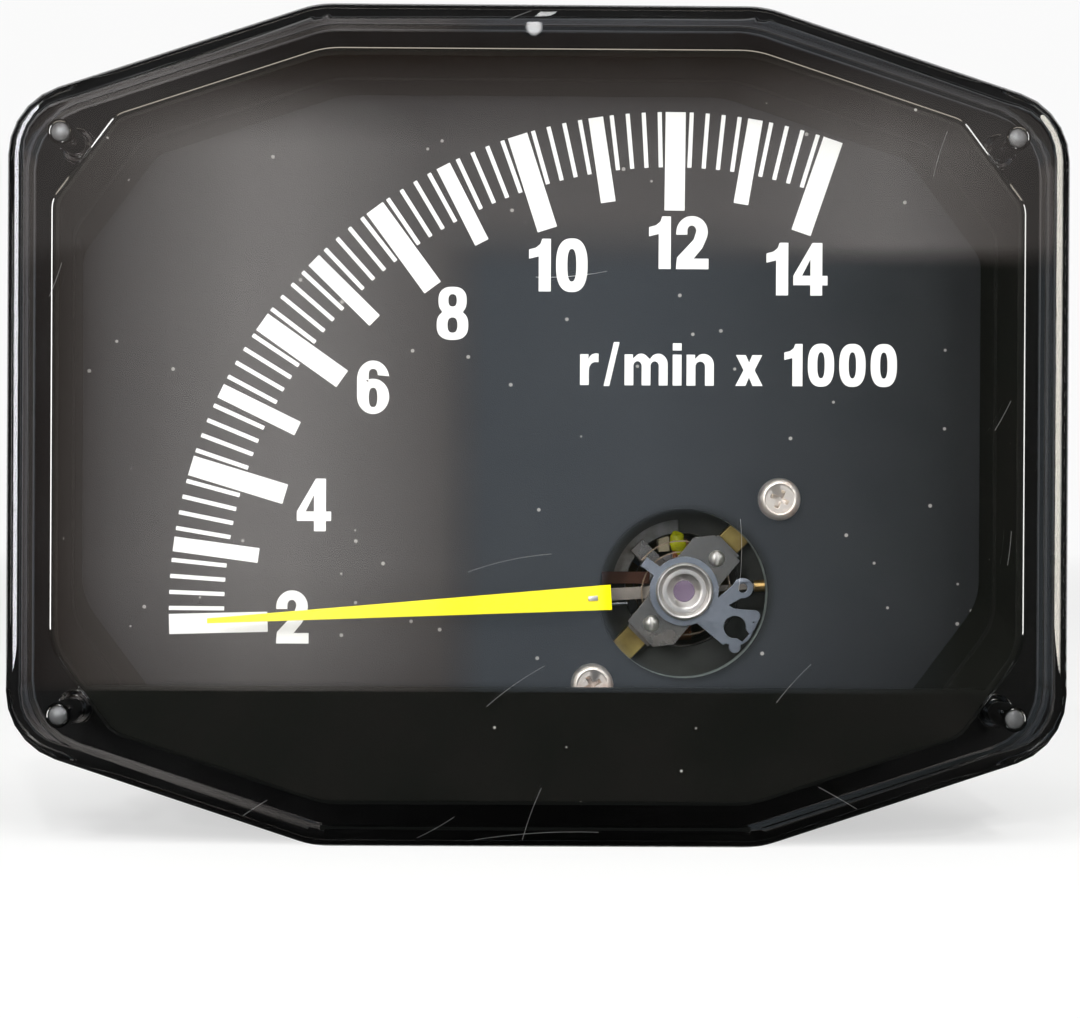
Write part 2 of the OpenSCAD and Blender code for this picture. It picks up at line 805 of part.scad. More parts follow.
// The weight is as long as it must be for the pointer to balance in any position
brass_to_aluminium = 8.5 / 2.7;
blade_moment = pointer_t * (pointer_l - pointer_start) * (pointer_base_w * (2 * pointer_start + pointer_l)
    + pointer_tip_w * (pointer_start + 2 * pointer_l)) / 6;
foot_moment = arm_w * arm_t * arm_foot_l * (riser_at + arm_foot_l / 2);
riser_moment = arm_w * arm_t * (d_arm_back - d_pointer_back - arm_t) * (riser_at + arm_t / 2);
arm_moment = arm_w * arm_t * pow(riser_at, 2) / 2;
tail_moment = tail_w * arm_t * pow(weight_at, 2) / 2;
neck_moment = brass_to_aluminium * PI * pow(weight_neck_r, 2) * weight_neck_l * (weight_at + weight_neck_l / 2);
weight_from = weight_at + weight_neck_l;
weight_area = PI * pow(weight_r, 2);
weight_load = 2 * (blade_moment + foot_moment + riser_moment + arm_moment - tail_moment - neck_moment)
    / (brass_to_aluminium * weight_area);
weight_l = sqrt(pow(weight_from, 2) + weight_load) - weight_from;

module pointer() {
    color([1, 0.92, 0.05])
        slab(d_pointer, d_pointer_back)
            on_pivot(rest_a)
                difference() {
                    polygon([
                        [pointer_start, -pointer_base_w / 2], [pointer_l, -pointer_tip_w / 2],
                        [pointer_l, pointer_tip_w / 2], [pointer_start, pointer_base_w / 2]
                    ]);
                    rivet_shape(rivet_shank + fit);
                }
}

// A flat rivet that is narrower under its head
rivet_shank = -0.1;

module rivet_shape(t) {
    translate([rivet_at, 0])
        square([rivet_l + 2 * t, rivet_w + 2 * t], center = true);
}

module pointer_rivet() {
    color([0.8, 0.78, 0.72]) {
        slab(d_pointer - rivet_h, d_pointer)
            on_pivot(rest_a)
                rivet_shape(0);
        slab(d_pointer, d_pointer_back + arm_t)
            on_pivot(rest_a)
                rivet_shape(rivet_shank);
    }
}

// One bent strip: tail, hub, arm, riser and the foot under the pointer
module pointer_arm() {
    hub_r = 1;
    tail_end = weight_from + weight_l;
    color([0.62, 0.6, 0.56])
        difference() {
            union() {
                slab(d_arm, d_arm_back)
                    on_pivot(rest_a) {
                        bar(0, riser_at + arm_t, arm_w);
                        bar(-tail_end, 0, tail_w);
                        circle(r = hub_r);
                    }
                slab(d_pointer_back, d_arm_back)
                    on_pivot(rest_a)
                        bar(riser_at, riser_at + arm_t, arm_w);
                slab(d_pointer_back, d_pointer_back + arm_t)
                    on_pivot(rest_a)
                        bar(riser_at, riser_at + arm_foot_l, arm_w);
            }
            rod(pivot_x, axis_z, d_arm - 1, d_arm_back + 1, staff_r);
            slab(d_pointer_back - 1, d_pointer_back + arm_t + 1)
                on_pivot(rest_a)
                    rivet_shape(rivet_shank + fit);
        }
}

module balance_weight() {
    d_middle = (d_arm + d_arm_back) / 2;
    color([0.85, 0.62, 0.25])
        translate([pivot_x, front_y + d_middle, axis_z])
            rotate([0, 180 - rest_a, 0])
                difference() {
                    union() {
                        translate([weight_at, 0, 0])
                            rotate([0, 90, 0])
                                cylinder(h = weight_neck_l + hair, r = weight_neck_r);
                        translate([weight_from, 0, 0])
                            rotate([0, 90, 0])
                                cylinder(h = weight_l, r = weight_r);
                    }
                    translate([weight_at - 1, -arm_t / 2, -tail_w / 2])
                        cube([weight_neck_l + weight_l + 2, arm_t, tail_w]);
                }
}

module pivot_staffs() {
    tip_end = d_jewel + jewel_t - pivot_l;
    color([0.6, 0.62, 0.65])
        front_and_rear() {
            rod(pivot_x, axis_z, tip_end, d_jewel_screw_back, tip_r);
            rod(pivot_x, axis_z, d_jewel_screw_back - free_gap, d_coil, staff_r);
            rod(pivot_x, axis_z, d_spring - fit, d_spring_back + fit, collet_r);
            rod(pivot_x, axis_z, d_coil - staff_foot_t, d_coil, staff_foot_r);
        }
}

// A loop round the core magnet, square to the pointer, seen along its own width
module coil_loop(in_r, out_r, in_d, out_d, corner_r) {
    translate([pivot_x, front_y + (d_ring + d_ring_end) / 2, axis_z])
        rotate([0, 90 - rest_a, 0])
            translate([0, 0, -winding_w / 2])
                linear_extrude(winding_w)
                    difference() {
                        round_bar(2 * out_r, 2 * out_d, corner_r);
                        square([2 * in_r, 2 * in_d], center = true);
                    }
}

former_in_r = core_r + core_gap;
winding_in_r = former_in_r + former_t;
winding_out_r = winding_in_r + winding_t;
ring_in_r = sqrt(pow(winding_out_r, 2) + pow(winding_w / 2, 2)) + ring_gap;
ring_out_r = ring_in_r + ring_wall;
half_coil = (d_ring_end - d_ring) / 2 + strap_t + strap_gap;

module coil_former() {
    color([0.75, 0.76, 0.78])
        coil_loop(former_in_r, winding_in_r, half_coil, half_coil + former_t, former_t / 2);
}

module coil_winding() {
    color([0.55, 0.24, 0.1])
        coil_loop(winding_in_r, winding_out_r, half_coil + former_t,
            half_coil + former_t + winding_t, winding_t);
}

// The hairspring is one spiral strip, from the staff's collet out to its tab
collet_r = staff_r + 0.3;
spring_in_r = collet_r + spring_t / 2;
spring_out_r = 5.3;
curl_points = 32;
function spiral_r(i, n) = spring_in_r + (spring_out_r - spring_in_r) * i / n;
function spiral(side) = [
    let (n = spring_turns * curl_points)
        for (i = [0 : n])
            let (a = tab_a - (n - i) * 360 / curl_points)
                (spiral_r(i, n) + side * spring_t / 2) * [cos(a), sin(a)]
];
spring_inside = spiral(-1);
spring_outside = spiral(1);
spring_gap = min([
    for (i = [0 : (spring_turns - 1) * curl_points])
        norm(spring_inside[i + curl_points] - spring_outside[i])
]);
echo(str("least gap of the hairspring to itself, mm: ", spring_gap));

module hairspring() {
    color([0.8, 0.6, 0.3])
        slab(d_spring, d_spring_back)
            on_pivot()
                polygon(concat(spring_outside, [
                    for (i = [len(spring_inside) - 1 : -1 : 0]) spring_inside[i]
                ]));
}

module front_hairspring() {
    hairspring();
}

module rear_hairspring() {
    rear_side()
        hairspring();
}

/* Bridges, jewels and the zero lever */

lever_in_r = jewel_screw_r + fit;
lever_out_r = lever_in_r + lever_ring_w;
tab_t = 0.4;
tab_w = 1.1;
tab_end = spring_out_r * cos(180 / curl_points) - spring_t;

module spring_tab_leg(d0) {
    slab(d0, d_spring_back)
        on_pivot(tab_a)
            bar(tab_end - tab_t, tab_end, tab_w);
}

// A stamped lever: ring, tab, a small eye and a wide fork for an adjusting pin
module zero_lever() {
    eye = [6, 0.35];
    eye_r = 1.05;
    eye_hole_r = 0.47;
    fork = [5.2, -3.65];
    fork_r = 1.9;
    fork_hole_r = 1.15;
    color([0.66, 0.7, 0.76]) {
        slab(d_lever, d_lever_back)
            on_pivot()
                difference() {
                    union() {
                        circle(r = lever_out_r);
                        translate(eye)
                            circle(r = eye_r);
                        translate(fork)
                            circle(r = fork_r);
                        translate([7.2, -2.5])
                            circle(r = 0.6);
                        translate([5.2, -5.7])
                            circle(r = 0.6);
                        polygon([[2.6, -2.4], [3.3, -0.8], eye + [-0.6, 0.7], eye + [0.1, -0.9],
                            [4.6, -1.4], [5.2, -1.8], [7.2, -1.9], [6.8, -3.6], [4, -5.5], [1.2, -3.2]]);
                        polygon([[7.7, -2.8], [7.2, -3.9], [6, -5.1], [5.45, -6.1], [4.7, -6], [5.6, -4.4]]);
                        rotate(tab_a)
                            bar(lever_in_r + lever_ring_w / 2, tab_end, tab_w);
                    }
                    circle(r = lever_in_r);
                    translate(eye)
                        circle(r = eye_hole_r);
                    translate(fork)
                        circle(r = fork_hole_r);
                    polygon([fork + [0, -1], fork + [1, 0], fork + [1.5, -0.7], fork + [0.8, -1.5]]);
                }
        spring_tab_leg(d_lever);
    }
}

// At the rear the hairspring's tab is fixed, because only the front end is adjusted
module rear_spring_tab() {
    color([0.66, 0.7, 0.76])
        rear_side() {
            slab(d_lever, d_lever_back)
                on_pivot()
                    difference() {
                        union() {
                            circle(r = lever_out_r);
                            rotate(tab_a)
                                bar(lever_in_r + lever_ring_w / 2, tab_end, tab_w);
                        }
                        circle(r = lever_in_r);
                    }
            spring_tab_leg(d_lever);
        }
}

module lock_nuts() {
    nut_bevel = 0.2;
    color([0.82, 0.8, 0.74])
        front_and_rear()
            difference() {
                union() {
                    rod(pivot_x, axis_z, d_nut + nut_bevel, d_lever, nut_r);
                    taper(pivot_x, axis_z, d_nut, d_nut + nut_bevel, nut_r - nut_bevel, nut_r);
                }
                rod(pivot_x, axis_z, d_nut - 1, d_lever + 1, jewel_screw_r);
                taper(pivot_x, axis_z, d_nut - hair, d_nut + dish_d, nut_r - 1.2 * nut_bevel, jewel_screw_r);
            }
}

module jewel_screws() {
    cup_r = jewel_screw_r - 0.35;
    color([0.72, 0.7, 0.66])
        front_and_rear()
            difference() {
                rod(pivot_x, axis_z, d_jewel_screw, d_jewel_screw_back, jewel_screw_r);
                taper(pivot_x, axis_z, d_jewel_screw - hair, d_jewel, cup_r, jewel_r);
                rod(pivot_x, axis_z, d_jewel - hair, d_jewel + jewel_t, jewel_r);
                rod(pivot_x, axis_z, d_jewel, d_jewel_screw_back + 1, staff_r + 0.2);
            }
}

module jewels() {
    color([0.6, 0.2, 0.45])
        front_and_rear()
            difference() {
                rod(pivot_x, axis_z, d_jewel, d_jewel + jewel_t, jewel_r);
                rod(pivot_x, axis_z, d_jewel + jewel_t - pivot_l - fit, d_jewel + jewel_t + 1, tip_r + fit);
            }
}

module bridge_arms() {
    for (s = [0, 180])
        rotate(s)
            polygon([[1, -bridge_root_w / 2], [bridge_hub_r / 2, -bridge_root_w / 2],
                [(bridge_hub_r + bridge_l) / 3, -bridge_end_w / 2 - foot_t / 2],
                [bridge_l, -bridge_end_w / 2], [bridge_l, bridge_end_w / 2],
                [bridge_corner_at, bridge_corner_w],
                [bridge_hub_r / 2, bridge_root_w / 2], [1, bridge_root_w / 2]]);
}

module bridges() {
    color([0.74, 0.74, 0.72])
        front_and_rear() {
            slab(d_bridge, d_bridge_back)
                on_pivot(bridge_a)
                    difference() {
                        union() {
                            circle(r = bridge_hub_r);
                            bridge_arms();
                        }
                        circle(r = jewel_screw_r);
                        for (x = [-1, 1])
                            translate([x * bridge_screw_at, 0])
                                circle(r = bridge_shank_r);
                    }
            slab(d_lever_back, d_bridge)
                on_pivot()
                    difference() {
                        circle(r = bridge_hub_r - 0.4);
                        circle(r = jewel_screw_r);
                    }
        }
}

foot_in_r = 4;
foot_out_r = bridge_l + 0.35;

module feet_down_to(d_end) {
    for (s = [0, 180]) {
        slab(d_bridge_back, d_bridge_back + foot_t)
            on_pivot(bridge_a + s)
                difference() {
                    bar(foot_in_r, foot_out_r, foot_w);
                    translate([bridge_screw_at, 0])
                        circle(r = bridge_shank_r);
                }
        slab(d_bridge_back, d_end)
            on_pivot(bridge_a + s)
                bar(foot_out_r - foot_t, foot_out_r, foot_w);
    }
}

// In front the feet stand on the brass bars, and behind on the soft-iron ring
module bridge_feet() {
    color([0.6, 0.6, 0.6]) {
        feet_down_to(d_bar);
        rear_side()
            feet_down_to(d_ring);
    }
}

module bridge_screws() {
    bridge_head_h = bridge_head_r * 0.6;
    color([0.88, 0.88, 0.86])
        front_and_rear()
            for (s = [0, 180]) {
                p = from_pivot(bridge_screw_at, bridge_a + s);
                difference() {
                    dome(p[0], p[1], d_bridge, bridge_head_r, bridge_head_h);
                    slab(d_bridge - bridge_head_h - 1, d_bridge - bridge_head_h / 2)
                        translate(p)
                            square([bridge_slot_w, 3 * bridge_head_r], center = true);
                }
                rod(p[0], p[1], d_bridge, d_bridge_back + foot_t, bridge_shank_r);
            }
}

/* The magnet and the frame of the movement */

strap_reach = ring_in_r + ring_wall / 2;
clear_r = norm([strap_reach, strap_w / 2]) + 0.2;
frame_r = ring_out_r + frame_wall;
skirt_l = 2;

module core_magnet() {
    color([0.35, 0.35, 0.37])
        rod(pivot_x, axis_z, d_ring, d_ring_end, core_r);
}

module core_straps() {
    color([0.7, 0.55, 0.3])
        front_and_rear()
            slab(d_strap, d_ring)
                on_pivot(bridge_a + 90)
                    bar(-strap_reach, strap_reach, strap_w);
}

module soft_iron_ring() {
    color([0.68, 0.69, 0.7])
        difference() {
            rod(pivot_x, axis_z, d_ring, d_ring_end, ring_out_r);
            rod(pivot_x, axis_z, d_ring - 1, d_ring_end + 1, ring_in_r);
        }
}

// A black moulded frame over the front of the soft-iron ring, cut away where the ring shows
module movement_frame() {
    window_r = ring_out_r - 0.1;
    mid_a = (window_from_a + window_to_a) / 2;
    color([0.08, 0.09, 0.08])
        difference() {
            rod(pivot_x, axis_z, d_frame, d_ring + skirt_l, frame_r);
            rod(pivot_x, axis_z, d_ring, d_ring + skirt_l + 1, ring_out_r + fit);
            rod(pivot_x, axis_z, d_frame - 1, d_ring + 1, ring_in_r + 0.15);
            slab(d_frame - 1, d_ring + hair)
                on_pivot()
                    intersection() {
                        circle(r = window_r);
                        polygon([[0, 0], for (a = [window_from_a, mid_a, window_to_a])
                            2 * window_r * [cos(a), sin(a)]]);
                    }
            slab(d_frame - 1, d_ring + hair)
                for (s = [0, 180])
                    on_pivot(bridge_a + s)
                        bar(ring_in_r, dial_screw_at, bar_w + 2 * fit);
            for (p = dial_screw_places)
                rod(p[0], p[1], d_frame - 1, d_ring + hair, post_r + fit);
            slab(d_strap - free_gap, d_ring + hair)
                on_pivot(bridge_a + 90)
                    bar(-strap_reach - fit, strap_reach + fit, strap_w + 2 * fit);
        }
}

// Two brass bars let into the frame, each with a post for the dial
module dial_carrier() {
    bar_in_r = foot_out_r - foot_t - 0.15;
    tap_d = dial_screw_l + 0.5;
    color([0.72, 0.58, 0.26])
        for (s = [0, 180]) {
            p = from_pivot(dial_screw_at, bridge_a + s);
            difference() {
                union() {
                    slab(d_bar, d_ring)
                        on_pivot(bridge_a + s)
                            bar(bar_in_r, dial_screw_at, bar_w);
                    rod(p[0], p[1], d_dial_back, d_ring, post_r);
                }
                rod(p[0], p[1], d_dial_back - 1, d_dial_back + tap_d, dial_shank_r);
            }
        }
}

// A cream block on the soft-iron ring, beside the resting coil
module coil_stop() {
    stop_in_r = core_r + stop_gap;
    stop_l = 2;
    color([0.85, 0.8, 0.68])
        slab(d_frame, d_ring + stop_l)
            intersection() {
                on_pivot()
                    circle(r = ring_in_r);
                on_pivot(rest_a - 90)
                    translate([stop_in_r, winding_w / 2 + stop_gap])
                        square([ring_out_r, stop_w]);
            }
}

// A bent wire that stands on the frame beside the resting arm
module arm_stop() {
    wire_l = 2;
    d_wire = (d_arm + d_arm_back) / 2;
    foot = [frame_stand_r, arm_w / 2 + stop_gap + stop_wire_r];
    color([0.7, 0.7, 0.7]) {
        translate([pivot_x, front_y + d_wire, axis_z])
            rotate([0, -rest_a, 0])
                translate([foot[0] - wire_l, 0, foot[1]])
                    rotate([0, 90, 0])
                        cylinder(h = wire_l, r = stop_wire_r);
        translate([pivot_x, front_y + d_wire, axis_z])
            rotate([0, -rest_a, 0])
                translate([foot[0], 0, foot[1]])
                    sphere(r = stop_wire_r);
        translate([pivot_x, front_y + d_frame, axis_z])
            rotate([0, -rest_a, 0])
                translate([foot[0], 0, foot[1]])
                    rotate([90, 0, 0])
                        cylinder(h = d_frame - d_wire, r = stop_wire_r);
    }
}

// A strip of brown laminate that carries the lever's current from the frame
frame_stand_r = ring_out_r + 0.35;
module lead_strip() {
    strip_z = arm_w / 2;
    strip_end = frame_stand_r + 0.6;
    color([0.3, 0.14, 0.08])
        for (part = [[d_strip, strip_from], [d_strip + strip_t, frame_stand_r]])
            slab(part[0], part[0] == d_strip ? d_strip + strip_t : d_frame)
                translate([pivot_x - strip_end, axis_z + strip_z])
                    square([strip_end - part[1], strip_w]);
}

// An aluminium plate behind the soft-iron ring, with two ears on the case's posts
module movement_base() {
    spigot_l = 1.8;
    ear_r = 3.2;
    ear_w = 5;
    foot_way = foot_out_r + free_gap;
    color([0.7, 0.71, 0.73])
        difference() {
            union() {
                rod(pivot_x, axis_z, d_ring_end - spigot_l, d_base_end, frame_r);
                slab(d_ring_end, d_base_end)
                    on_pivot(bridge_a + 90)
                        bar(-base_screw_at, base_screw_at, ear_w);
                for (p = base_screw_places())
                    rod(p[0], p[1], d_ring_end, d_base_end, ear_r);
            }
            rod(pivot_x, axis_z, d_ring_end - spigot_l - 1, d_ring_end, ring_out_r);
            rod(pivot_x, axis_z, d_ring_end - 1, d_base_end + 1, clear_r);
            slab(d_ring_end - 1, d_base_end + 1)
                on_pivot(bridge_a)
                    bar(-foot_way, foot_way, foot_w + 2 * free_gap);
            for (p = base_screw_places())
                rod(p[0], p[1], d_ring_end - 1, d_base_end + 1, base_tap_r + 0.2);
        }
}

module movement_screws() {
    head_r = 2.6;
    head_h = 1.7;
    screw_l = 9;
    color("silver")
        for (p = base_screw_places()) {
            dome(p[0], p[1], d_ring_end, head_r, head_h);
            rod(p[0], p[1], d_ring_end, d_ring_end + screw_l, base_tap_r - fit);
        }
}

// Two stiff wires from the movement's base to the board
lead_at = 9.2;
lead_r = 0.35;

module movement_leads() {
    color([0.75, 0.35, 0.2])
        for (s = [20, 70]) {
            p = from_pivot(lead_at, bridge_a + s);
            rod(p[0], p[1], d_base_end, d_board, lead_r);
        }
}

/* The circuit board and what is on it */

module circuit_board() {
    corner = 4;
    color([0.55, 0.45, 0.2])
        slab(d_board, d_board_back)
            difference() {
                translate([board_x, board_z])
                    round_bar(board_w, board_h, corner);
                for (p = board_screw_places())
                    translate(p)
                        circle(r = board_tap_r + 0.2);
                for (p = base_screw_places())
                    translate(p)
                        circle(r = base_post_r + free_gap);
            }
}

module board_screws() {
    head_r = 1.9;
    head_h = 1.3;
    screw_l = 6;
    color("silver")
        for (p = board_screw_places()) {
            dome(p[0], p[1], d_board, head_r, head_h);
            rod(p[0], p[1], d_board, d_board + screw_l, board_tap_r - fit);
        }
}

// Places on the board are from the board's own middle
chip_x = -16;
chip_z = -8;
chip_l = 19.5;
chip_w = 6.4;
chip_h = 3.4;
chip_foot = 0.6;
chip_legs = 7;
chip_pitch = 2.54;
chip_leg_w = 0.5;

module chip() {
    color([0.12, 0.12, 0.12])
        translate([board_x + chip_x, front_y + d_board, board_z + chip_z]) {
            translate([-chip_l / 2, -chip_h - chip_foot, -chip_w / 2])
                cube([chip_l, chip_h, chip_w]);
            for (i = [0 : chip_legs - 1], s = [-1, 1])
                translate([(i - (chip_legs - 1) / 2) * chip_pitch - chip_leg_w / 2,
                        -chip_h / 2 - chip_foot, s * chip_w / 2 - (s > 0 ? chip_leg_w : 0)])
                    cube([chip_leg_w, chip_h / 2 + chip_foot, chip_leg_w]);
        }
}

transistor_x = -2;
transistor_z = 8;
transistor_r = 2.4;
transistor_h = 5;
transistor_stand = 2;
transistor_leg_r = 0.25;
transistor_pitch = 1.3;

module transistor() {
    x = board_x + transistor_x;
    z = board_z + transistor_z;
    d_foot = d_board - transistor_stand;
    color([0.15, 0.15, 0.15])
        difference() {
            rod(x, z, d_foot - transistor_h, d_foot, transistor_r);
            box_between([x - 2 * transistor_r, d_foot - transistor_h - 1, z + transistor_r / 2],
                [x + 2 * transistor_r, d_foot + 1, z + 2 * transistor_r]);
        }
    color("silver")
        for (i = [-1 : 1])
            rod(x + i * transistor_pitch, z, d_foot, d_board, transistor_leg_r);
}

// A small part that lies along X with its two wires bent down to the board
wire_r = 0.3;

module lying_part(x, z, l, r, span) {
    d_axis = d_board - r - wire_r;
    translate([board_x + x - l / 2, front_y + d_axis, board_z + z])
        rotate([0, 90, 0])
            cylinder(h = l, r = r);
    for (s = [-1, 1]) {
        rod(board_x + x + s * span / 2, board_z + z, d_axis, d_board, wire_r);
        translate([board_x + x + s * (l / 2 + span / 2) / 2, front_y + d_axis, board_z + z])
            rotate([0, 90, 0])
                cylinder(h = (span - l) / 2 + wire_r, r = wire_r, center = true);
    }
}

resistor_x = -27;
resistor_z = 3;
resistor_l = 6.3;
resistor_r = 1.2;
resistor_span = 10;
resistor_columns = 14;
resistor_rows = 3.6;

module resistors() {
    color([0.8, 0.68, 0.48])
        for (i = [0 : 4], j = [0, 1])
            lying_part(resistor_x + resistor_columns * j, resistor_z + resistor_rows * i,
                resistor_l, resistor_r, resistor_span);
}

diode_x = -31.5;
diode_z = -9;
diode_l = 4;
diode_r = 1;
diode_span = 8;
diode_rows = 5;

module diodes() {
    color([0.7, 0.35, 0.2])
        for (i = [0, 1])
            lying_part(diode_x, diode_z - diode_rows * i, diode_l, diode_r, diode_span);
}

film_x = 8;
film_z = 19;
film_columns = 13;
film_rows = 6.5;
film_l = 10;
film_w = 4;
film_h = 9;

module film_capacitors() {
    color([0.7, 0.15, 0.12])
        for (place = [[0, 0], [1, 0], [0, 1]])
            translate([board_x + film_x + place[0] * film_columns - film_l / 2,
                    front_y + d_board - film_h, board_z + film_z - place[1] * film_rows - film_w / 2])
                cube([film_l, film_h, film_w]);
}

large_x = -12;
large_z = -17.5;
large_r = 4;
large_h = 12;
small_x = -24;
small_z = -18;
small_r = 3.2;
small_h = 11;

module electrolytic_capacitors() {
    color([0.15, 0.2, 0.4]) {
        rod(board_x + large_x, board_z + large_z, d_board - large_h, d_board, large_r);
        rod(board_x + small_x, board_z + small_z, d_board - small_h, d_board, small_r);
    }
}

// The trimmer faces the back, where a plug covers the way to it
trimmer_h = 3.6;
rotor_r = 2;
rotor_h = 1.4;

module trimmer_body() {
    color([0.15, 0.25, 0.55])
        difference() {
            rod(trimmer_x, trimmer_z, d_board_back, d_board_back + trimmer_h, trimmer_r);
            rod(trimmer_x, trimmer_z, d_board_back + trimmer_h - rotor_h, d_board_back + trimmer_h + 1,
                rotor_r + fit);
        }
}

module trimmer_rotor() {
    slot_w = 0.6;
    color([0.9, 0.9, 0.85])
        difference() {
            rod(trimmer_x, trimmer_z, d_board_back + trimmer_h - rotor_h,
                d_board_back + trimmer_h + fit, rotor_r);
            slab(d_board_back + trimmer_h - rotor_h / 2, d_board_back + trimmer_h + 1)
                translate([trimmer_x, trimmer_z])
                    square([3 * rotor_r, slot_w], center = true);
        }
}

module calibration_plug() {
    flange_r = plug_r + 1.4;
    flange_h = 1;
    nib = 0.5;
    color([0.1, 0.1, 0.1]) {
        rod(trimmer_x, trimmer_z, d_floor - nib, d_back, plug_r - fit);
        dome_at_back(trimmer_x, trimmer_z, d_back, flange_r, flange_h);
    }
}

module dome_at_back(x, z, d, r, h) {
    translate([0, 2 * (front_y + d), 0])
        mirror([0, 1, 0])
            dome(x, z, d, r, h);
}

/* Terminals and mountings on the back */

block_w = blades * blade_pitch + 2;
block_h = 12;

module terminal_block() {
    collar = 1.2;
    collar_l = 1.5;
    color([0.12, 0.12, 0.12])
        difference() {
            union() {
                box_between([-block_w / 2, d_back, blade_z - block_h / 2],
                    [block_w / 2, d_back + block_t - collar_l, blade_z + block_h / 2]);
                for (x = blade_xs)
                    box_between([x - blade_w / 2 - collar, d_back, blade_z - blade_t / 2 - collar],
                        [x + blade_w / 2 + collar, d_back + block_t, blade_z + blade_t / 2 + collar]);
            }
            for (x = blade_xs)
                box_between([x - blade_w / 2, d_back - 1, blade_z - blade_t / 2],
                    [x + blade_w / 2, d_back + block_t + 1, blade_z + blade_t / 2]);
        }
}

module terminal_blades() {
    nose = 1.2;
    hole_r = 0.8;
    hole_in = 3.4;
    end_d = d_back + block_t + blade_l;
    color([0.85, 0.8, 0.6])
        for (x = blade_xs)
            difference() {
                translate([x, 0, blade_z - blade_t / 2])
                    linear_extrude(blade_t)
                        polygon([
                            [-blade_w / 2, front_y + d_board_back], [blade_w / 2, front_y + d_board_back],
                            [blade_w / 2, front_y + end_d - nose], [blade_w / 2 - nose, front_y + end_d],
                            [nose - blade_w / 2, front_y + end_d], [-blade_w / 2, front_y + end_d - nose]
                        ]);
                translate([x, front_y + end_d - hole_in, blade_z - blade_t])
                    cylinder(h = 2 * blade_t, r = hole_r);
            }
}

module at_studs() {
    for (x = [-1, 1])
        translate([x * stud_pitch / 2, 0, 0])
            children();
}

module stud_inserts() {
    color([0.8, 0.65, 0.3])
        at_studs()
            difference() {
                rod(0, 0, d_back - insert_d, d_back, insert_r);
                rod(0, 0, d_back - insert_d + 1, d_back + 1, inner_stud_r);
            }
}

module mounting_rubbers() {
    color([0.06, 0.06, 0.06])
        at_studs()
            difference() {
                rod(0, 0, d_back + plate_t, d_rubber_end - plate_t, rubber_r);
                // The rubber is drawn in between its plates
                translate([0, front_y + d_back + rubber_l / 2, 0])
                    rotate([90, 0, 0])
                        rotate_extrude()
                            translate([rubber_r + waist_r - waist_d, 0])
                                circle(r = waist_r);
            }
}

waist_d = 0.8;
waist_r = (pow(rubber_l / 2 - plate_t, 2) + pow(waist_d, 2)) / (2 * waist_d);

module mounting_studs() {
    bevel = 0.5;
    color([0.75, 0.75, 0.72])
        at_studs() {
            rod(0, 0, d_back, d_back + plate_t, rubber_r);
            rod(0, 0, d_back - insert_d + 1.4, d_back, inner_stud_r - fit);
            rod(0, 0, d_rubber_end - plate_t, d_rubber_end, rubber_r);
            rod(0, 0, d_rubber_end, total_d - bevel, stud_r);
            taper(0, 0, total_d - bevel, total_d, stud_r, stud_r - bevel);
        }
}

cover();
gasket();
cover_screws();
case();
mask();
dial();
scale_marks();
dial_screws();
pointer();
pointer_rivet();
pointer_arm();
balance_weight();
pivot_staffs();
coil_former();
coil_winding();
front_hairspring();
rear_hairspring();
zero_lever();
rear_spring_tab();
lock_nuts();
jewel_screws();
jewels();
bridges();
bridge_feet();
bridge_screws();
core_magnet();
core_straps();
soft_iron_ring();
movement_frame();
coil_stop();
arm_stop();
lead_strip();
dial_carrier();
movement_base();
movement_screws();
movement_leads();
circuit_board();
board_screws();
chip();
transistor();
resistors();
film_capacitors();
electrolytic_capacitors();
diodes();
trimmer_body();
trimmer_rotor();
calibration_plug();
terminal_block();
terminal_blades();
stud_inserts();
mounting_rubbers();
mounting_studs();
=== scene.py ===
import json
import math
import bpy
from mathutils import Matrix, Vector


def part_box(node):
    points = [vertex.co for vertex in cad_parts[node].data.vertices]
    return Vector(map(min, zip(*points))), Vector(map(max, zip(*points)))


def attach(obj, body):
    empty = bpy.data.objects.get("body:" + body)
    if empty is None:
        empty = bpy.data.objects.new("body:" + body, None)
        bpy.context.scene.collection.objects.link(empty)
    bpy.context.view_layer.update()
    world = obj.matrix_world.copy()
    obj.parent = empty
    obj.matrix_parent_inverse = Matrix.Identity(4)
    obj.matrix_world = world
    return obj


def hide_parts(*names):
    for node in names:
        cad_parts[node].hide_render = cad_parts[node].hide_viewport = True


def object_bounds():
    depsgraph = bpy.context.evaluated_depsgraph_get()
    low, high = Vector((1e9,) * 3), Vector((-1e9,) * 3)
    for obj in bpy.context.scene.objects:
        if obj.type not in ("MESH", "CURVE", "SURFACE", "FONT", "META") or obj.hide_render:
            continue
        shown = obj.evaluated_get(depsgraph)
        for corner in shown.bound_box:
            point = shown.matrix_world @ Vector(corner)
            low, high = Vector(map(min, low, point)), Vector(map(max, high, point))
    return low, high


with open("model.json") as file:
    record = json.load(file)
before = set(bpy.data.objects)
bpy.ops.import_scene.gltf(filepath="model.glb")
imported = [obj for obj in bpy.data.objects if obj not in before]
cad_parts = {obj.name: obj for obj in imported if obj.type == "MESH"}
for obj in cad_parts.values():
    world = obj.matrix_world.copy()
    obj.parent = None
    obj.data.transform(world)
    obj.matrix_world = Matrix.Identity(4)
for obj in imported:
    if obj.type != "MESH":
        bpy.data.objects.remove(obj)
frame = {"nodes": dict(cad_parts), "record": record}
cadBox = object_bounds()
nodes = frame["nodes"]
mm = 0.001
frontY = cadBox[0][1]  # the window's front
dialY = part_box("dial")[0][1]
pivotX, pivotZ = 15.1 * mm, -16.6 * mm
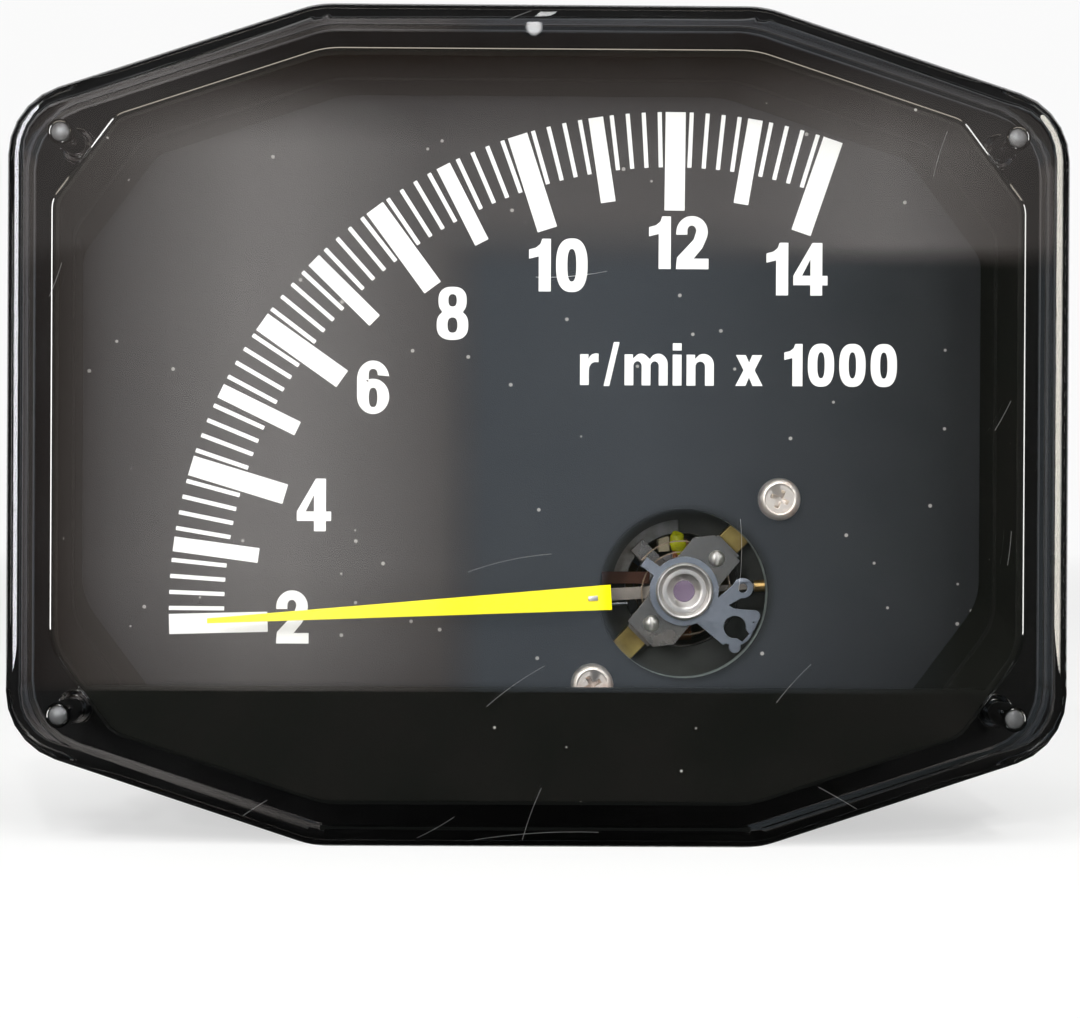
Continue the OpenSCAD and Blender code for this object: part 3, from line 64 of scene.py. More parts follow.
opening = {"x": 14.9 * mm, "z": -16.8 * mm, "radius": 8.6 * mm, "edgeColor": (0.12, 0.14, 0.13)}


def deselectAll():
    if bpy.context.object and bpy.context.object.mode != "OBJECT":
        bpy.ops.object.mode_set(mode="OBJECT")
    bpy.ops.object.select_all(action="DESELECT")


def selectOnly(obj):
    deselectAll()
    obj.select_set(True)
    bpy.context.view_layer.objects.active = obj


def addModifier(obj, kind, **values):
    selectOnly(obj)
    bpy.ops.object.modifier_add(type=kind)
    modifier = obj.modifiers[-1]
    for name, value in values.items():
        setattr(modifier, name, value)
    bpy.ops.object.modifier_apply(modifier=modifier.name)


def roundEdges(obj, width, segments=2, angle=40, **values):
    # rounds the edges sharper than the angle; the width is in millimetres
    addModifier(obj, "BEVEL", width=width * mm, segments=segments, limit_method="ANGLE",
                angle_limit=math.radians(angle), **values)


def moveMesh(obj, x, y, z):
    obj.data.transform(Matrix.Translation((x, y, z)))


deselectAll()


def startGroup(name, inputs, outputs):
    group = bpy.data.node_groups.new(name, "ShaderNodeTree")
    for label, value in inputs.items():
        socket = group.interface.new_socket(name=label, in_out="INPUT", socket_type="NodeSocketFloat")
        socket.default_value = value
    for label in outputs:
        group.interface.new_socket(name=label, in_out="OUTPUT", socket_type="NodeSocketFloat")
    return group, group.nodes.new("NodeGroupInput").outputs, group.nodes.new("NodeGroupOutput")


def setInputs(tree, node, inputs):
    # a plain value is set on its socket, and another node's output is linked to it
    for name, value in inputs.items():
        socket = node.inputs[name]
        if isinstance(value, bpy.types.NodeSocket):
            tree.links.new(value, socket)
        else:
            socket.default_value = (*value, 1) if socket.type == "RGBA" else value


def addNode(tree, kind, inputs, **values):
    node = tree.nodes.new(kind)
    for name, value in values.items():
        setattr(node, name, value)
    setInputs(tree, node, inputs)
    return node


def mathNode(tree, operation, *terms):
    return addNode(tree, "ShaderNodeMath", dict(enumerate(terms)), operation=operation).outputs[0]


def vectorNode(tree, operation, inputs, output="Vector"):
    return addNode(tree, "ShaderNodeVectorMath", inputs, operation=operation).outputs[output]


def rampNode(tree, source, low, high, fromValue=0.0, toValue=1.0):
    node = addNode(tree, "ShaderNodeMapRange", {"Value": source, "From Min": low, "From Max": high,
                                                "To Min": fromValue, "To Max": toValue})
    return node.outputs["Result"]


def mixColor(tree, factor, first, second):
    # 6, 7 and 2 are the node's colour sockets
    return addNode(tree, "ShaderNodeMix", {0: factor, 6: first, 7: second}, data_type="RGBA").outputs[2]


def objectPlace(tree, scale=None, turn=(0, 0, 0)):
    place = addNode(tree, "ShaderNodeTexCoord", {}).outputs["Object"]
    if scale is None:
        return place
    return addNode(tree, "ShaderNodeMapping", {"Vector": place, "Scale": scale, "Rotation": turn}).outputs["Vector"]


def objectParts(tree):
    return addNode(tree, "ShaderNodeSeparateXYZ", {"Vector": objectPlace(tree)}).outputs


def noiseNode(tree, place, fineness, detail):
    return addNode(tree, "ShaderNodeTexNoise", {"Vector": place, "Scale": fineness, "Detail": detail}).outputs["Fac"]


def makeGrainGroup():
    # moulded or sprayed grain, with a coarser unevenness under it
    group, given, end = startGroup("surfaceGrain", {"Fineness": 6000.0, "Patch Size": 120.0}, ["Height", "Patches"])
    place = objectPlace(group)
    coarse = noiseNode(group, place, given["Patch Size"], 5.0)
    setInputs(group, end, {"Height": noiseNode(group, place, given["Fineness"], 3.0),
                           "Patches": rampNode(group, coarse, 0.35, 0.65)})
    return group


def makeDustGroup():
    # small pale specks of dust, one in each cell of a cell pattern and most of them left out
    group, given, end = startGroup("dustSpecks", {"Fineness": 900.0, "Share": 0.25, "Size": 0.12}, ["Mask"])
    cells = addNode(group, "ShaderNodeTexVoronoi", {"Vector": objectPlace(group), "Scale": given["Fineness"]}).outputs
    chance = addNode(group, "ShaderNodeSeparateColor", {"Color": cells["Color"]}).outputs
    kept = mathNode(group, "LESS_THAN", chance["Red"], given["Share"])
    size = mathNode(group, "MULTIPLY", chance["Green"], given["Size"])
    near = rampNode(group, mathNode(group, "SUBTRACT", size, cells["Distance"]), 0.0, 0.03)
    setInputs(group, end, {"Mask": mathNode(group, "MULTIPLY", kept, near)})
    return group


def makeScratchGroup():
    # one slightly bent hairline in some cells of a cell pattern, each turned its own way
    group, given, end = startGroup("hairScratches", {"Fineness": 60.0, "Width": 0.00003, "Length": 0.004,
                                                     "Bend Radius": 0.04, "Share": 0.4}, ["Mask"])
    flatPlace = objectPlace(group, (1, 0, 1))
    cells = addNode(group, "ShaderNodeTexVoronoi", {"Vector": flatPlace, "Scale": given["Fineness"]}).outputs
    chance = addNode(group, "ShaderNodeSeparateColor", {"Color": cells["Color"]}).outputs
    fromCell = vectorNode(group, "SUBTRACT", {0: flatPlace, 1: cells["Position"]})
    fromCell = vectorNode(group, "MULTIPLY", {0: fromCell, 1: (1, 0, 1)})
    turn = mathNode(group, "MULTIPLY", chance["Red"], 2 * math.pi)
    way = addNode(group, "ShaderNodeCombineXYZ", {"X": mathNode(group, "COSINE", turn),
                                                  "Z": mathNode(group, "SINE", turn)}).outputs["Vector"]
    centre = vectorNode(group, "SCALE", {0: way, "Scale": given["Bend Radius"]})
    fromCentre = vectorNode(group, "DISTANCE", {0: fromCell, 1: centre}, "Value")
    off = mathNode(group, "ABSOLUTE", mathNode(group, "SUBTRACT", fromCentre, given["Bend Radius"]))
    line = mathNode(group, "LESS_THAN", off, given["Width"])
    half = mathNode(group, "MULTIPLY", chance["Green"], given["Length"])
    short = mathNode(group, "LESS_THAN", vectorNode(group, "LENGTH", {0: fromCell}, "Value"), half)
    kept = mathNode(group, "LESS_THAN", chance["Blue"], given["Share"])
    setInputs(group, end, {"Mask": mathNode(group, "MULTIPLY", line, mathNode(group, "MULTIPLY", short, kept))})
    return group


def makeBrushGroup():
    # fine brushing or turning marks on bare metal, and patches of tarnish
    group, given, end = startGroup("toolMarks", {"Fineness": 2500.0, "Tarnish Size": 300.0}, ["Height", "Tarnish"])
    stains = noiseNode(group, objectPlace(group), given["Tarnish Size"], 6.0)
    drawnOut = objectPlace(group, (1, 1, 0.06), (0, 0.78, 0))
    setInputs(group, end, {"Height": noiseNode(group, drawnOut, given["Fineness"], 4.0),
                           "Tarnish": rampNode(group, stains, 0.45, 0.7)})
    return group


surfaceGrain = makeGrainGroup()
dustSpecks = makeDustGroup()
hairScratches = makeScratchGroup()
toolMarks = makeBrushGroup()
print("shader groups made")


def startMaterial(name):
    material = bpy.data.materials.new(name)
    material.use_nodes = True
    tree = material.node_tree
    return material, tree, tree.nodes["Principled BSDF"]


def useGroup(tree, group, inputs):
    return addNode(tree, "ShaderNodeGroup", inputs, node_tree=group).outputs


def addBump(tree, shader, height, distance):
    bump = addNode(tree, "ShaderNodeBump", {"Distance": distance, "Strength": 1.0, "Height": height})
    setInputs(tree, shader, {"Normal": bump.outputs["Normal"]})


dust = {"fineness": 700.0, "size": 0.16, "color": (0.3, 0.29, 0.27)}


def mouldedPlastic(name, color, patchColor, roughness, grain=6000.0, depth=0.01, dustShare=0.0, specular=0.5):
    material, tree, shader = startMaterial(name)
    surface = useGroup(tree, surfaceGrain, {"Fineness": grain, "Patch Size": 120.0})
    base = mixColor(tree, surface["Patches"], color, patchColor)
    if dustShare:
        specks = useGroup(tree, dustSpecks, {"Fineness": dust["fineness"], "Share": dustShare, "Size": dust["size"]})
        base = mixColor(tree, specks["Mask"], base, dust["color"])
    setInputs(tree, shader, {"Base Color": base, "Specular IOR Level": specular,
                             "Roughness": rampNode(tree, surface["Patches"], 0.0, 1.0, roughness, roughness * 1.25)})
    addBump(tree, shader, surface["Height"], depth * mm)
    return material


def paintedDial():
    # the black paint stops at the opening, whose cut edge is bare metal
    material = mouldedPlastic("dialBlack", (0.01, 0.011, 0.012), (0.013, 0.014, 0.015), 0.55, 7000, 0.015, 0.1, 0.08)
    tree = material.node_tree
    shader = tree.nodes["Principled BSDF"]
    reach = vectorNode(tree, "DISTANCE", {0: objectPlace(tree, (1, 0, 1)), 1: (opening["x"], 0, opening["z"])}, "Value")
    wall = rampNode(tree, reach, opening["radius"] + 0.03 * mm, opening["radius"] + 0.05 * mm, 1.0, 0.0)
    behindFace = rampNode(tree, objectParts(tree)["Y"], dialY + 0.12 * mm, dialY + 0.16 * mm)
    painted = shader.inputs["Base Color"].links[0].from_socket
    setInputs(tree, shader, {"Base Color": mixColor(tree, mathNode(tree, "MULTIPLY", wall, behindFace), painted,
                                                    opening["edgeColor"])})
    return material


def bareMetal(name, color, tarnishColor, roughness, marks=2500.0, depth=0.004):
    material, tree, shader = startMaterial(name)
    surface = useGroup(tree, toolMarks, {"Fineness": marks, "Tarnish Size": 300.0})
    setInputs(tree, shader, {"Base Color": mixColor(tree, surface["Tarnish"], color, tarnishColor), "Metallic": 1.0,
                             "Roughness": rampNode(tree, surface["Tarnish"], 0.0, 1.0, roughness, roughness * 1.6)})
    addBump(tree, shader, surface["Height"], depth * mm)
    return material


clearCover = {"color": (0.975, 0.98, 0.98), "ior": 1.49, "roughness": 0.008, "edge": 0.08, "window": 3.0,
              "pocketFillet": 0.65, "ridgeFineness": 190.0, "ridgesFrom": (51.6, 51.9),
              "ridgeDepths": (0.15, 0.6, 2.0, 2.6), "waveFineness": 28.0, "waveShare": 0.02, "bumpDepth": 0.02,
              "scratchColor": (0.8, 0.8, 0.78), "scratchPaleness": 0.13, "scratchRoughness": 0.4,
              "shortScratches": {"Fineness": 75.0, "Width": 0.000016, "Length": 0.005, "Bend Radius": 0.03,
                                 "Share": 0.14},
              "longScratches": {"Fineness": 24.0, "Width": 0.00002, "Length": 0.018, "Bend Radius": 0.06,
                                "Share": 0.2}}


def makeClearPlastic():
    # clear moulded plastic: light and shadow rays pass straight through it
    material, tree, shader = startMaterial("clearPlastic")
    parts = objectParts(tree)
    scratches = mathNode(tree, "MAXIMUM", useGroup(tree, hairScratches, clearCover["shortScratches"])["Mask"],
                         useGroup(tree, hairScratches, clearCover["longScratches"])["Mask"])
    onFront = rampNode(tree, parts["Y"], frontY + 0.3 * mm, frontY + 0.5 * mm, 1.0, 0.0)
    worn = mathNode(tree, "MULTIPLY", scratches, onFront)
    setInputs(tree, shader, {"Base Color": clearCover["color"], "IOR": clearCover["ior"], "Transmission Weight": 1.0,
                             "Roughness": rampNode(tree, worn, 0.0, 1.0, clearCover["roughness"],
                                                   clearCover["scratchRoughness"])})
    # shallow moulding waves, and the fine ridges that run round the rounded front edge
    waves = noiseNode(tree, objectPlace(tree), clearCover["waveFineness"], 1.0)
    ridges = addNode(tree, "ShaderNodeTexWave", {"Vector": objectPlace(tree), "Scale": clearCover["ridgeFineness"]},
                     bands_direction="Z").outputs["Fac"]
    start, full, last, end = [frontY + depth * mm for depth in clearCover["ridgeDepths"]]
    band = mathNode(tree, "MULTIPLY", rampNode(tree, parts["Y"], start, full),
                    rampNode(tree, parts["Y"], last, end, 1.0, 0.0))
    outer = rampNode(tree, parts["X"], *[side * mm for side in clearCover["ridgesFrom"]])
    ribbed = mathNode(tree, "MULTIPLY", ridges, mathNode(tree, "MULTIPLY", band, outer))
    waved = mathNode(tree, "MULTIPLY", waves, clearCover["waveShare"])
    addBump(tree, shader, mathNode(tree, "ADD", ribbed, waved), clearCover["bumpDepth"] * mm)
    pale = addNode(tree, "ShaderNodeBsdfDiffuse", {"Color": clearCover["scratchColor"]})
    marked = addNode(tree, "ShaderNodeMixShader", {0: mathNode(tree, "MULTIPLY", worn, clearCover["scratchPaleness"]),
                                                   1: shader.outputs["BSDF"], 2: pale.outputs["BSDF"]})
    through = addNode(tree, "ShaderNodeBsdfTransparent", {})
    paths = addNode(tree, "ShaderNodeLightPath", {}).outputs
    either = mathNode(tree, "MAXIMUM", paths["Is Shadow Ray"], paths["Is Diffuse Ray"])
    choose = addNode(tree, "ShaderNodeMixShader", {0: either, 1: marked.outputs["Shader"], 2: through.outputs["BSDF"]})
    setInputs(tree, tree.nodes["Material Output"], {"Surface": choose.outputs["Shader"]})
    return material


# name, colour, colour of its patches, roughness, then the fineness and depth of the grain, share of dust, specular
plastics = {
    "gasket_rubber": ("gasketRubber", (0.006, 0.006, 0.006), (0.009, 0.009, 0.009), 0.8, 3000, 0.02, 0.0, 0.05),
    "case_black": ("caseBlack", (0.01, 0.01, 0.0112), (0.016, 0.016, 0.0172), 0.42, 4500, 0.02, 0.06, 0.12),
    "mask_black": ("maskBlack", (0.0036, 0.004, 0.0031), (0.005, 0.0048, 0.004), 0.45, 5000, 0.012, 0.05, 0.04),
    "white_print": ("whitePrint", (0.82, 0.82, 0.8), (0.76, 0.76, 0.73), 0.6, 5000, 0.005),
    "pointer_yellow": ("pointerYellow", (0.86, 0.76, 0.003), (0.82, 0.7, 0.002), 0.5, 5000, 0.006, 0.0, 0.05),
    "ruby": ("jewelRuby", (0.1, 0.07, 0.11), (0.24, 0.19, 0.26), 0.08, 900, 0.0),
    "frame_black": ("frameBlack", (0.012, 0.014, 0.012), (0.02, 0.024, 0.02), 0.45, 4500, 0.01),
    "block_cream": ("blockCream", (0.5, 0.44, 0.3), (0.4, 0.34, 0.22), 0.4, 3000, 0.008),
    "laminate_brown": ("laminateBrown", (0.08, 0.028, 0.014), (0.05, 0.018, 0.01), 0.4, 1500, 0.008, 0.0, 0.2),
    "board_laminate": ("boardLaminate", (0.2, 0.13, 0.04), (0.26, 0.17, 0.06), 0.4, 900, 0.01),
    "component_black": ("componentBlack", (0.015, 0.015, 0.015), (0.022, 0.022, 0.022), 0.45, 4500, 0.01),
    "resistor_tan": ("resistorTan", (0.55, 0.4, 0.22), (0.5, 0.34, 0.18), 0.3),
    "film_red": ("filmRed", (0.35, 0.03, 0.02), (0.28, 0.02, 0.02), 0.2),
    "sleeve_blue": ("sleeveBlue", (0.02, 0.04, 0.16), (0.02, 0.03, 0.12), 0.25),
    "diode_glass": ("diodeGlass", (0.5, 0.2, 0.08), (0.4, 0.15, 0.06), 0.1),
    "trimmer_blue": ("trimmerBlue", (0.03, 0.09, 0.35), (0.03, 0.07, 0.3), 0.3),
    "trimmer_white": ("trimmerWhite", (0.8, 0.8, 0.76), (0.7, 0.7, 0.65), 0.35),
    "plug_rubber": ("plugRubber", (0.015, 0.015, 0.015), (0.022, 0.022, 0.022), 0.6, 3500, 0.01),
    "mount_rubber": ("mountRubber", (0.012, 0.012, 0.012), (0.022, 0.021, 0.02), 0.7, 2500, 0.02, 0.05),
}
# name, colour, colour of its tarnish, roughness, then the fineness and depth of the tool marks
metals = {
    "zinc_steel": ("zincSteel", (0.21, 0.215, 0.22), (0.14, 0.14, 0.14), 0.5),
    "nickel": ("nickelPlate", (0.88, 0.81, 0.74), (0.52, 0.38, 0.3), 0.34),
    "bare_aluminium": ("bareAluminium", (0.31, 0.28, 0.25), (0.2, 0.18, 0.16), 0.42),
    "balance_brass": ("turnedBrass", (0.72, 0.5, 0.2), (0.4, 0.26, 0.1), 0.28),
    "pivot_steel": ("pivotSteel", (0.6, 0.61, 0.63), (0.45, 0.45, 0.45), 0.15),
    "copper_wire": ("copperWire", (0.42, 0.17, 0.08), (0.25, 0.1, 0.05), 0.35, 6000, 0.01),
    "spring_bronze": ("springBronze", (0.36, 0.28, 0.2), (0.22, 0.17, 0.12), 0.35),
    "lever_steel": ("leverSteel", (0.27, 0.3, 0.35), (0.17, 0.185, 0.22), 0.32),
    "plated_brass": ("platedBrass", (0.8, 0.78, 0.76), (0.6, 0.56, 0.54), 0.28),
    "bridge_steel": ("bridgeSteel", (0.36, 0.34, 0.32), (0.2, 0.18, 0.16), 0.22),
    "bright_steel": ("brightSteel", (0.8, 0.78, 0.74), (0.55, 0.53, 0.5), 0.3),
    "magnet_alloy": ("magnetAlloy", (0.3, 0.3, 0.32), (0.2, 0.19, 0.18), 0.4),
    "soft_iron": ("softIron", (0.3, 0.3, 0.3), (0.15, 0.14, 0.12), 0.42),
    "carrier_brass": ("carrierBrass", (0.46, 0.36, 0.13), (0.27, 0.2, 0.08), 0.42),
    "blade_brass": ("tinnedBlade", (0.72, 0.68, 0.56), (0.5, 0.42, 0.28), 0.25),
}
materials = {"clear_acrylic": makeClearPlastic(), "dial_black": paintedDial()}
materials.update({slot: mouldedPlastic(*values) for slot, values in plastics.items()})
materials.update({slot: bareMetal(*values) for slot, values in metals.items()})
nodeSlots = {entry["node"]: entry["material_slot"] for entry in frame["record"]["subparts"]}
for nodeName, obj in nodes.items():
    obj.data.materials.clear()
    obj.data.materials.append(materials[nodeSlots[nodeName]])
print("materials on", len(nodes), "nodes")

nodeBody = {name: body for body, names in frame["record"]["behaviour"]["bodies"].items() for name in names}
smoothing = {"angle": 38, "flatFaceWeight": 50}


def finishPiece(obj, nodeName, material=None):
    # a piece that stands for a node rides with it and has its finish
    selectOnly(obj)
    bpy.ops.object.shade_smooth_by_angle(angle=math.radians(smoothing["angle"]))
    # large flat faces stay flat next to their rounded edges
    addModifier(obj, "WEIGHTED_NORMAL", mode="FACE_AREA", weight=smoothing["flatFaceWeight"], keep_sharp=True)
    obj.data.materials.clear()
    obj.data.materials.append(material or materials[nodeSlots[nodeName]])
    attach(obj, nodeBody[nodeName])


def mergedCopy(nodeName, newName):
    # the same solid as clean faces instead of loose triangles
    obj = nodes[nodeName].copy()
    obj.data = nodes[nodeName].data.copy()
    obj.name = newName
    bpy.context.collection.objects.link(obj)
    selectOnly(obj)
    bpy.ops.object.mode_set(mode="EDIT")
    bpy.ops.mesh.select_all(action="SELECT")
    bpy.ops.mesh.remove_doubles(threshold=0.0005 * mm)
    bpy.ops.mesh.dissolve_limited(angle_limit=math.radians(0.4))
    bpy.ops.object.mode_set(mode="OBJECT")
    return obj


# width in millimetres of the small rounding on each piece's edges
edgeRounding = {
    "gasket": 0.12, "case": 0.3, "mask": 0.1, "dial": 0.08, "pointer": 0.05, "pointer_rivet": 0.03,
    "pointer_arm": 0.06, "balance_weight": 0.12, "coil_former": 0.05, "zero_lever": 0.09, "rear_spring_tab": 0.06,
    "lock_nuts": 0.035, "jewel_screws": 0.06, "jewels": 0.08, "bridges": 0.1, "bridge_feet": 0.08,
    "bridge_screws": 0.04, "core_straps": 0.08, "soft_iron_ring": 0.15, "movement_frame": 0.15, "coil_stop": 0.12,
    "lead_strip": 0.04, "dial_carrier": 0.12, "movement_base": 0.2, "circuit_board": 0.1, "chip": 0.1,
    "transistor": 0.2, "film_capacitors": 0.4, "electrolytic_capacitors": 0.3, "trimmer_body": 0.2,
    "trimmer_rotor": 0.1, "terminal_block": 0.2, "terminal_blades": 0.1, "stud_inserts": 0.15, "mounting_rubbers": 0.25,
    "movement_screws": 0.1, "board_screws": 0.1, "calibration_plug": 0.15,
}
for nodeName, width in edgeRounding.items():
    piece = mergedCopy(nodeName, nodeName + "_rounded")
    roundEdges(piece, width, miter_outer="MITER_ARC")
    finishPiece(piece, nodeName)
    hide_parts(nodeName)
print("edges rounded on", len(edgeRounding), "pieces")


def selectEdges(obj, test):
    # selects the edges whose two ends both pass the test
    bpy.ops.object.mode_set(mode="OBJECT")
    for part in (obj.data.polygons, obj.data.vertices):
        for item in part:
            item.select = False
    for edge in obj.data.edges:
        edge.select = all(test(obj.data.vertices[i].co) for i in edge.vertices)
    bpy.ops.object.mode_set(mode="EDIT")
    bpy.ops.mesh.select_mode(type="EDGE")


# the cover keeps its shape and gets smooth rounding, with a small fillet round the pocket
cover = mergedCopy("cover", "clear_cover")
selectEdges(cover, lambda co: abs(co.y - frontY - clearCover["window"] * mm) < 0.01 * mm)
bpy.ops.mesh.bevel(offset=clearCover["pocketFillet"] * mm, segments=8, profile=0.5, affect="EDGES")
roundEdges(cover, clearCover["edge"], 3, 50)
finishPiece(cover, "cover")
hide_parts("cover")
print("cover made")


def addRod(name, radius, length, sides=40):
    # a rod along Y from 0 to its length, to be shaped further
    deselectAll()
    bpy.ops.mesh.primitive_cylinder_add(vertices=sides, radius=radius, depth=length)
    obj = bpy.context.object
    obj.name = name
    obj.data.transform(Matrix.Translation((0, length / 2, 0)) @ Matrix.Rotation(math.radians(-90), 4, "X"))
    return obj


def cutLengthwise(obj, cuts):
    selectOnly(obj)
    bpy.ops.object.mode_set(mode="EDIT")
    bpy.ops.mesh.select_mode(type="EDGE")
    bpy.ops.mesh.select_all(action="DESELECT")
    bpy.ops.object.mode_set(mode="OBJECT")
    for edge in obj.data.edges:
        ends = [obj.data.vertices[i].co.y for i in edge.vertices]
        edge.select = abs(ends[0] - ends[1]) > 0.5 * mm
    bpy.ops.object.mode_set(mode="EDIT")
    bpy.ops.mesh.subdivide(number_cuts=cuts)
    bpy.ops.object.mode_set(mode="OBJECT")


def cutThread(obj, screw, outline):
    # each ring of points is drawn in and out along a helix
    rootWidth = 1.25
    for vertex in obj.data.vertices:
        around = math.atan2(vertex.co.z, vertex.co.x) / (2 * math.pi)
        radius, share = outline(vertex.co.y)
        turn = (vertex.co.y / (screw["pitch"] * mm) - around) % 1.0
        ridge = 1 - abs(2 * turn - 1) * rootWidth
        now = math.hypot(vertex.co.x, vertex.co.z)
        if now > 0:
            new = radius - screw["threadDepth"] * mm * share * (1 - min(max(ridge, 0), 1))
            vertex.co.x *= new / now
            vertex.co.z *= new / now


def crossCutter(width, length, depth, taper=0.55):
    # two crossed wedges that narrow inwards, for a cross recess whose mouth is at y = 0
    cutters = []
    for turn in (0, 90):
        deselectAll()
        bpy.ops.mesh.primitive_cube_add(size=1)
        wedge = bpy.context.object
        wedge.data.transform(Matrix.Diagonal((length, 2 * depth, width, 1)))
        for vertex in wedge.data.vertices:
            if vertex.co.y > 0:
                vertex.co.x *= taper
                vertex.co.z *= taper
        wedge.data.transform(Matrix.Rotation(math.radians(turn), 4, "Y"))
        cutters.append(wedge)
    addModifier(cutters[0], "BOOLEAN", object=cutters[1], operation="UNION", solver="EXACT")
    bpy.data.objects.remove(cutters[1])
    return cutters[0]


def addHead(name, screw):
    # a pan head along Y with its front at y = 0, a rounded rim and a cross recess
    head = addRod(name, screw["radius"] * mm, screw["height"] * mm, 56)
    selectEdges(head, lambda co: co.y < 0.001 * mm)
    bpy.ops.mesh.bevel(offset=screw["rounding"] * mm, segments=7, profile=0.5, affect="EDGES")
    bpy.ops.object.mode_set(mode="OBJECT")
    # the front is slightly crowned
    for vertex in head.data.vertices:
        if vertex.co.y < 0.01 * mm:
            reach = math.hypot(vertex.co.x, vertex.co.z) / (screw["radius"] * mm)
            vertex.co.y += screw["crown"] * mm * reach * reach
    cutter = crossCutter(screw["slot"] * mm, screw["cross"] * mm, screw["recess"] * mm)
    addModifier(head, "BOOLEAN", object=cutter, operation="DIFFERENCE", solver="EXACT")
    bpy.data.objects.remove(cutter)
    roundEdges(head, 0.035)
    return head


def joinPieces(parts, name):
    deselectAll()
    for part in parts:
        part.select_set(True)
    bpy.context.view_layer.objects.active = parts[0]
    bpy.ops.object.join()
    parts[0].name = name
    return parts[0]


def islandBoxes(nodeName):
    # the box of each separate solid of a node, found on a merged copy
    probe = mergedCopy(nodeName, "probe")
    bpy.ops.object.mode_set(mode="EDIT")
    bpy.ops.mesh.select_all(action="SELECT")
    bpy.ops.mesh.separate(type="LOOSE")
    bpy.ops.object.mode_set(mode="OBJECT")
    boxes = []
    for part in list(bpy.context.selected_objects):
        corners = [v.co for v in part.data.vertices]
        boxes.append((Vector([min(c[i] for c in corners) for i in range(3)]),
                      Vector([max(c[i] for c in corners) for i in range(3)])))
        bpy.data.objects.remove(part)
    return boxes


# the two screws that hold the dial
dialScrew = {"radius": 2.15, "height": 1.35, "rounding": 0.75, "crown": 0.32, "slot": 0.62, "cross": 2.6,
             "recess": 0.95, "shank": 0.98, "pitch": 0.4, "threadDepth": 0.15, "turns": (24, 61)}
for index, box in enumerate(islandBoxes("dial_screws")):
    middle = (box[0] + box[1]) / 2
    head = addHead("dial_screw", dialScrew)
    shank = addRod("shank", dialScrew["shank"] * mm, box[1].y - dialY, 24)
    cutLengthwise(shank, 40)
    cutThread(shank, dialScrew, lambda y: (dialScrew["shank"] * mm, 1.0))
    moveMesh(shank, 0, dialScrew["height"] * mm, 0)
    screw = joinPieces([head, shank], "dial_screw_%d" % (index + 1))
    screw.data.transform(Matrix.Translation((middle.x, dialY - dialScrew["height"] * mm, middle.z))
                         @ Matrix.Rotation(math.radians(dialScrew["turns"][index]), 4, "Y"))
    finishPiece(screw, "dial_screws")
    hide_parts("dial_screws")
print("dial screws made")

# the four cover screws: blunt tips in front, threads up to the heads behind
coverScrew = {"shank": 1.2, "pitch": 1.3, "threadDepth": 0.28, "tip": 0.25, "tipLength": 1.1, "threadStart": 3,
              "radius": 2.4, "height": 1.8, "rounding": 0.9, "crown": 0.15, "slot": 0.8, "cross": 3.0, "recess": 1.1,
              "turnApart": 37}


def coverScrewOutline(y):
    reach = min(y / (coverScrew["tipLength"] * mm), 1.0)
    rounded = math.sqrt(reach * (2 - reach))
    radius = coverScrew["tip"] + (coverScrew["shank"] - coverScrew["tip"]) * rounded
    return radius * mm, min(y / (coverScrew["threadStart"] * mm), 1.0)


for index, box in enumerate(islandBoxes("cover_screws")):
    middle = (box[0] + box[1]) / 2
    seat = box[1].y - coverScrew["height"] * mm
    shank = addRod("shank", coverScrew["shank"] * mm, seat - box[0].y, 28)
    cutLengthwise(shank, 118)
    cutThread(shank, coverScrew, coverScrewOutline)
    head = addHead("cover_screw", coverScrew)
    head.data.transform(Matrix.Translation((0, coverScrew["height"] * mm, 0)) @ Matrix.Rotation(math.pi, 4, "X"))
    moveMesh(head, 0, seat - box[0].y, 0)
    screw = joinPieces([shank, head], "cover_screw_%d" % (index + 1))
    screw.data.transform(Matrix.Translation((middle.x, box[0].y, middle.z))
                         @ Matrix.Rotation(math.radians(coverScrew["turnApart"] * index), 4, "Y"))
    finishPiece(screw, "cover_screws")
    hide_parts("cover_screws")
print("cover screws made")

# the mounting studs: plates as in the CAD, with threaded ends
stud = {"radius": 2.5, "pitch": 0.8, "threadDepth": 0.42, "chamfer": 0.5, "threadStart": 0.8, "sunk": 0.3,
        "caseBack": 50, "neckRadius": 1.95, "plateRadius": 7.5, "plate": 1.2, "plateEdge": 0.18}
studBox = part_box("mounting_studs")
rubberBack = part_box("mounting_rubbers")[1][1]


def studOutline(y):
    left = studLength - y
    return (stud["radius"] - max(0.0, stud["chamfer"] - left / mm)) * mm, min(1.0, y / (stud["threadStart"] * mm))


studMiddles = sorted({round((box[0].x + box[1].x) / 2, 5) for box in islandBoxes("mounting_studs")})
caseBack = stud["caseBack"] * mm + frontY
thickness = stud["plate"] * mm
plateBack = rubberBack + thickness
studLength = studBox[1][1] - plateBack + stud["sunk"] * mm
